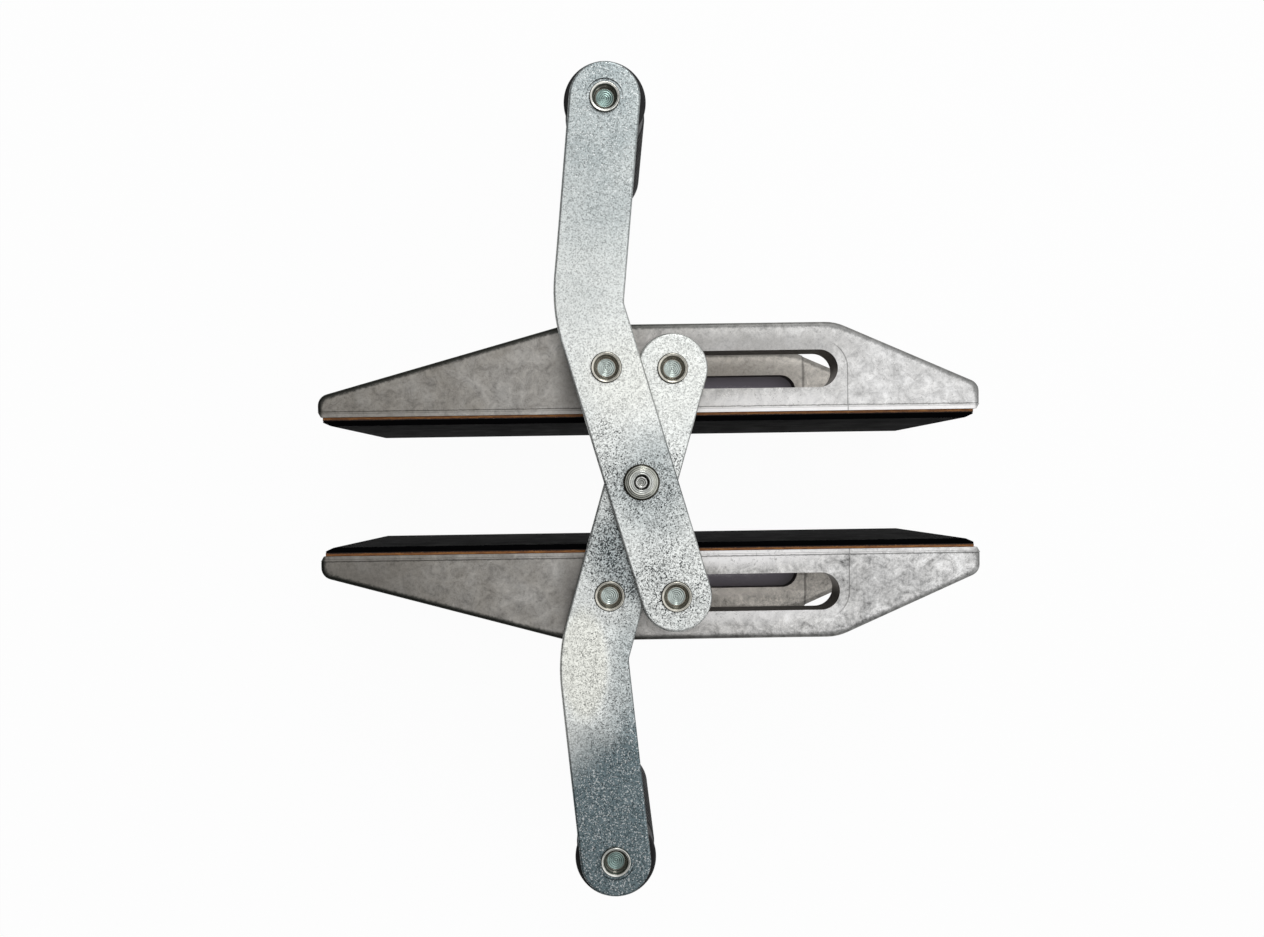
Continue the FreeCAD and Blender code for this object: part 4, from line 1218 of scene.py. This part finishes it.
@dataclass
class Studio:
    """The floor, the dome, the lamp and the camera.

    A slope is an axis, the two places on it between which the dome's light changes,
    and its level before and after. A panel is a spot on the dome, its radius and its
    strength. The shade is the painted shade on the floor under the slots: its middle
    and half its width along and across the clamp.
    """

    eye: Point = (-20.04 * MM, -1.87 * MM, 577.71 * MM)
    tilt: Point = (-1.306, -0.381, -0.838)
    focal_px: float = 934.5
    axis_px: tuple[float, float] = (616.0, 508.1)
    film_width: float = 36.0
    floor_half: float = 3.0
    slopes: tuple[tuple[int, float, float, float, float], ...] = (
        (2, 0.3, 0.8, 0.55, 0.95),
        (0, -0.34, 0.16, 0.6, 1.33),
        (0, -0.85, -0.4, 0.25, 1.0),
        (1, -0.45, -0.1, 0.36, 1.0),
        (1, 0.2, 0.42, 1.0, 0.7),
    )
    panels: tuple[tuple[Point, float, float], ...] = (
        ((0.047, 0.094, 0.994), 0.24, 0.52),
        ((0.75, -0.5, 0.45), 0.35, 1.6),
    )
    shade_reach: float = 250 * MM
    shade_along: tuple[float, float] = (34 * MM, 62 * MM)
    shade_across: tuple[float, float] = (55.2 * MM, 11 * MM)
    lamp_spot: Point = (0.12, 0.75, 0.75)
    lamp_size: float = 0.3
    lamp_watts: float = 1.6
    aim: Point = (0.0, 0.0, 0.1)

    def place_camera(self) -> None:
        """Stand the camera where the photograph was taken."""
        data = bpy.data.cameras.new("camera")
        data.sensor_fit = "HORIZONTAL"
        data.sensor_width = self.film_width
        data.lens = self.focal_px / IMAGE_WIDTH * self.film_width
        data.shift_x = (IMAGE_WIDTH / 2 - self.axis_px[0]) / IMAGE_WIDTH
        data.shift_y = (self.axis_px[1] - IMAGE_HEIGHT / 2) / IMAGE_WIDTH
        data.clip_start = 0.01
        camera = bpy.data.objects.new("camera", data)
        camera.location = self.eye
        camera.rotation_euler = tuple(math.radians(angle) for angle in self.tilt)
        bpy.context.scene.collection.objects.link(camera)
        bpy.context.scene.camera = camera

    def lay_floor(self) -> None:
        """A plain white floor that keeps a soft shadow, with a painted shade under the slots."""
        half = self.floor_half
        mesh = bpy.data.meshes.new("floor")
        mesh.from_pydata([(-half, -half, 0), (half, -half, 0), (half, half, 0), (-half, half, 0)],
                         [], [(0, 1, 2, 3)])
        floor = bpy.data.objects.new("floor", mesh)
        bpy.context.scene.collection.objects.link(floor)
        material, tree = empty_material("white_floor")
        add = partial(add_node, tree)
        path = add("LightPath", out=None)
        seen = add("Math.MAXIMUM", (path["Is Camera Ray"], path["Is Glossy Ray"]))
        seen = add("Math.MAXIMUM", (seen, path["Is Transmission Ray"]))
        white = add("Emission", {"Color": WHITE, "Strength": 1.0})

        # painted shade: under the slots, where the jaws cover the floor, the floor's colour is
        # painted dark and its white glow turned down
        x, y, _ = add("SeparateXYZ", (add("TexCoord", out="Object"),), None)
        along = band(tree, x, *self.shade_along, 1 * MM)
        across = band(tree, add("Math.ABSOLUTE", (y,)), *self.shade_across, 1 * MM)
        under = add("Math.MULTIPLY", (along, across))
        open_sky = add("AmbientOcclusion", {"Distance": self.shade_reach}, "AO", samples=16)
        covered = add("MapRange", (open_sky, 0.47, 0.37, 0, 1), **EASED)
        under = add("Math.MULTIPLY", (under, covered))
        paint = add("BsdfDiffuse", {"Color": coats(tree, "#f4f4f4", (under, "#857d89"))})
        share = add("MapRange", (under, 0, 1, 0.96, 0.02))
        share = add("Math.MULTIPLY", (share, seen))
        add("OutputMaterial", {"Surface": add("MixShader", (share, paint, white))}, None)
        dress(floor, material)

    def light_world(self) -> None:
        """A studio dome: pale ceiling, darker to the left and the ends, and soft panels."""
        world = bpy.data.worlds.new("studio_dome")
        bpy.context.scene.world = world
        world.use_nodes = True
        tree = world.node_tree
        tree.nodes.clear()
        add = partial(add_node, tree)
        way = add("TexCoord", out="Generated")
        parts = add("SeparateXYZ", (way,), None)
        levels = [add("MapRange", (parts[axis], *levels), **EASED) for axis, *levels in self.slopes]
        level = reduce(lambda one, two: add("Math.MULTIPLY", (one, two)), levels)
        for spot, radius, strength in self.panels:
            away = add("VectorMath.DISTANCE", (way, spot), "Value")
            panel = add("MapRange", (away, radius, 0.3 * radius, 0, strength), **EASED)
            level = add("Math.ADD", (level, panel))
        glow = add("Background", {"Color": linear("#fcfdff"), "Strength": level})

        # behind the clamp the camera sees white, while the metal mirrors the dome itself
        white = add("Background", {"Color": WHITE, "Strength": 1.0})
        both = add("MixShader", (add("LightPath", out="Is Camera Ray"), glow, white))
        add("OutputWorld", {"Surface": both}, None)

    def hang_lamp(self) -> None:
        """Hang a square soft lamp that faces the object's middle."""
        data = bpy.data.lights.new("key_lamp", "AREA")
        data.shape = "SQUARE"
        data.size = self.lamp_size
        data.energy = self.lamp_watts
        lamp = bpy.data.objects.new("key_lamp", data)
        lamp.location = self.lamp_spot
        x, y, z = np.array(self.aim) - np.array(self.lamp_spot)
        lean = math.atan2(math.hypot(x, y), -z)
        lamp.rotation_euler = (lean, 0.0, math.atan2(y, x) - math.pi / 2)
        lamp.visible_camera = False
        bpy.context.scene.collection.objects.link(lamp)

    def build(self) -> None:
        """Set up the whole studio."""
        self.place_camera()
        self.lay_floor()
        self.light_world()
        self.hang_lamp()
        bpy.context.scene.view_settings.view_transform = "Standard"


# The clamp's finishes, read with the frame's own places

# A jaw's outer side, seen from the front: it is level between two places beside the
# pivot pin, and drops by these heights to the two ends.
LEVEL_FROM = -20.7 * MM
LEVEL_TO = 113.5 * MM
LEFT_DROP = 33.6 * MM
RIGHT_DROP = 31.3 * MM


def cast_finish() -> CastAluminium:
    """The castings' finish, with its marks tied to the slots and the lip."""
    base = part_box("upper_pad_backing")[1].y
    pivot = middle_of("upper_pivot_pin")
    low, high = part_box("upper_jaw_casting")
    outline = np.array([
        (low.x, high.y - LEFT_DROP),
        (pivot[0] + LEVEL_FROM, high.y),
        (pivot[0] + LEVEL_TO, high.y),
        (high.x, high.y - RIGHT_DROP),
    ])
    runs = np.diff(outline, axis=0)
    inward = np.stack([runs[:, 1], -runs[:, 0]], axis=1) / np.linalg.norm(runs, axis=1)[:, None]
    offsets = -np.sum(inward * outline[:-1], axis=1)
    sides = np.concatenate([inward, offsets[:, None]], axis=1).tolist()
    return CastAluminium(
        name="cast_aluminium",
        base_level=base,
        lip_top=base + 2.6 * MM,
        pivot_level=pivot[1],
        slot_from=pivot[0] + 31.2 * MM,
        slot_to=pivot[0] + 105.2 * MM,
        slot_half=9.3 * MM,
        channel_front=high.z - 17 * MM,
        borders=(*map(tuple, sides), (1.0, 0.0, -low.x), (-1.0, 0.0, high.x)),
        rubbed=(Patch(45, -36, 60, 9, 0.9), Patch(50, -64, 62, 9, 0.6), Patch(60, 38, 60, 8, 0.45)),
        # the first two patches are painted shadow just left of the arms; the other three darken
        # areas along the upper jaw, at the lower jaw's right end and at its left tip
        grime_and_shadow_patches=(Patch(-38, 45, 13, 38, 0.6, 1.0), Patch(-39, -55, 11, 30, 0.65, 1.0),
                Patch(50, 66, 75, 9, 0.35), Patch(110, -52, 50, 22, 0.35, 1.0),
                Patch(-145, -48, 50, 24, 0.4, 1.0)),
    )


# The dull zones are partly wear and partly painted shade, darkening the front handle and the rear
# arm's lower end. The rear arm's first burnish patch is a painted sheen along its left edge.
FRONT_ZINC = BlastedZinc(
    "blasted_zinc_front",
    pitted=(Patch(-22, 14, 15, 26, 0.6), Patch(2, -4, 34, 26, 0.6), Patch(8, -50, 34, 34, 0.75)),
    dulled_and_shaded=(Patch(-20, 200, 60, 150, 0.65, 1.0), Patch(1, 0, 30, 36, 0.4)),
    burnish_and_sheen=(Patch(-14, 50, 30, 30, 0.5),),
)
REAR_ZINC = BlastedZinc(
    "blasted_zinc_rear",
    pitted=(Patch(-16, -34, 26, 40, 1.0), Patch(6, 8, 18, 18, 0.8), Patch(-20, -100, 30, 60, 0.3)),
    dulled_and_shaded=(Patch(-10, -204, 60, 102, 1.0, 0.35), Patch(-12, -34, 26, 36, 0.5),
            Patch(-8, -96, 22, 46, 0.45)),
    burnish_and_sheen=(Patch(-34, -88, 14, 32, 0.95, 0.35), Patch(12, 50, 30, 36, 0.3)),
)
# Zones from the outside in: the edge and the cup walls are painted shade; the rings and floors keep
# their own tints.
PIN_METAL = TurnedMetal(
    "turned_zinc_pin", "#4a4942", ((7.2, "#cfccc0"), (6.25, "#a39d91"), (4.25, "#bac4be")),
)
# The edge, the dark ring at 7.5 mm and the cup wall at 6.2 mm are painted shade.
ROD_METAL = TurnedMetal(
    "turned_zinc_rod", "#5a5c57",
    ((8.75, "#c9ccc8"), (7.5, "#70736c"), (7.25, "#e6e6de"), (6.2, "#8f8d84"), (4.25, "#90a6a0")),
)
# The edge and the socket wall at 3.75 mm are painted shade; the light rings at 6.1 mm and 2.7 mm
# are painted highlights on the flat and the socket floor.
SCREW_METAL = TurnedMetal(
    "zinc_socket_screw", "#4c4a42",
    ((7.85, "#b7b8ae"), (6.1, "#d8d8cf"), (5.6, "#c2c4be"), (3.75, "#2b2a27"), (2.7, "#e8e8e2"),
     (1.8, "#a3a49e")),
)

# Hidden small pieces, with the CAD nodes that each finish covers.
SMALL_PARTS = {
    PlainMetal("zinc_washer", "#b9bcba", "#8f9492"): (
        "upper_pivot_inner_washer", "lower_pivot_inner_washer", "upper_pivot_spacer",
        "lower_slide_spacer", "lower_pivot_washer", "upper_slide_washer",
    ),
    PlainMetal("blackened_spring_steel", "#3a3b3d", "#232426", 0.45): (
        "upper_pivot_clip", "lower_pivot_clip", "upper_front_roller_clip",
        "upper_rear_roller_clip", "lower_front_roller_clip", "lower_rear_roller_clip",
    ),
    PlainMetal("natural_nylon", "#d3cfc4", "#bfb9ab", 0.5, 0.0): (
        "upper_front_roller", "upper_rear_roller", "lower_front_roller", "lower_rear_roller",
    ),
    PlainMetal("turned_bronze", "#b08d4f", "#8a6a38"): ("centre_bush",),
}
PINS = (
    Pin("upper_pivot_pin", "front_arm", ("upper_pivot_clip",)),
    Pin("lower_pivot_pin", "rear_arm", ("lower_pivot_clip",)),
    Pin("lower_slide_pin", "front_arm", ("lower_rear_roller_clip", "lower_front_roller_clip")),
    Pin("upper_slide_pin", "rear_arm", ("upper_rear_roller_clip", "upper_front_roller_clip")),
)


def report(*pieces: Piece) -> None:
    """Log that pieces are built."""
    for piece in pieces:
        LOG.info("built %s", piece.name)


def build_clamp() -> None:
    """Build and dress every piece of the clamp."""
    cast = cast_finish().material()
    rubber = BlackRubber("pad_rubber_black").material()
    for side in Side:
        jaw = Jaw(side)
        glue = abs(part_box(side.word + "_rubber_pad")[1 if side is Side.UPPER else 0].y)
        cloth = RubberisedCloth(side.word + "_brown_plies", glue).material()
        report(jaw.build_casting(cast), jaw.build_backing(cloth), jaw.build_rubber(rubber))
    report(Arm("front_arm", FRONT_ZINC).build(), Arm("rear_arm", REAR_ZINC).build())
    pin_metal = PIN_METAL.material()
    report(*(pin.build(pin_metal) for pin in PINS))
    report(CentreScrew().build(SCREW_METAL.material()))
    rod_metal = ROD_METAL.material()
    grip = BlackRubber("grip_rubber_black", "#0e0e0f", "#222224", 1.4, 0.6, 0.35).material()
    for side, body in ((Side.UPPER, "front_arm"), (Side.LOWER, "rear_arm")):
        handle = Handle(side, body)
        report(handle.build_rod(rod_metal), handle.build_grip(grip))
    for finish, nodes in SMALL_PARTS.items():
        material = finish.material()
        for node in nodes:
            dress_node(node, material)
            LOG.info("dressed %s in %s", node, finish.name)


def main() -> None:
    """Build the clamp and its studio."""
    logging.basicConfig(level=logging.INFO, format="%(name)s: %(message)s")
    build_clamp()
    Studio().build()


if __name__ == "__main__":
    main()
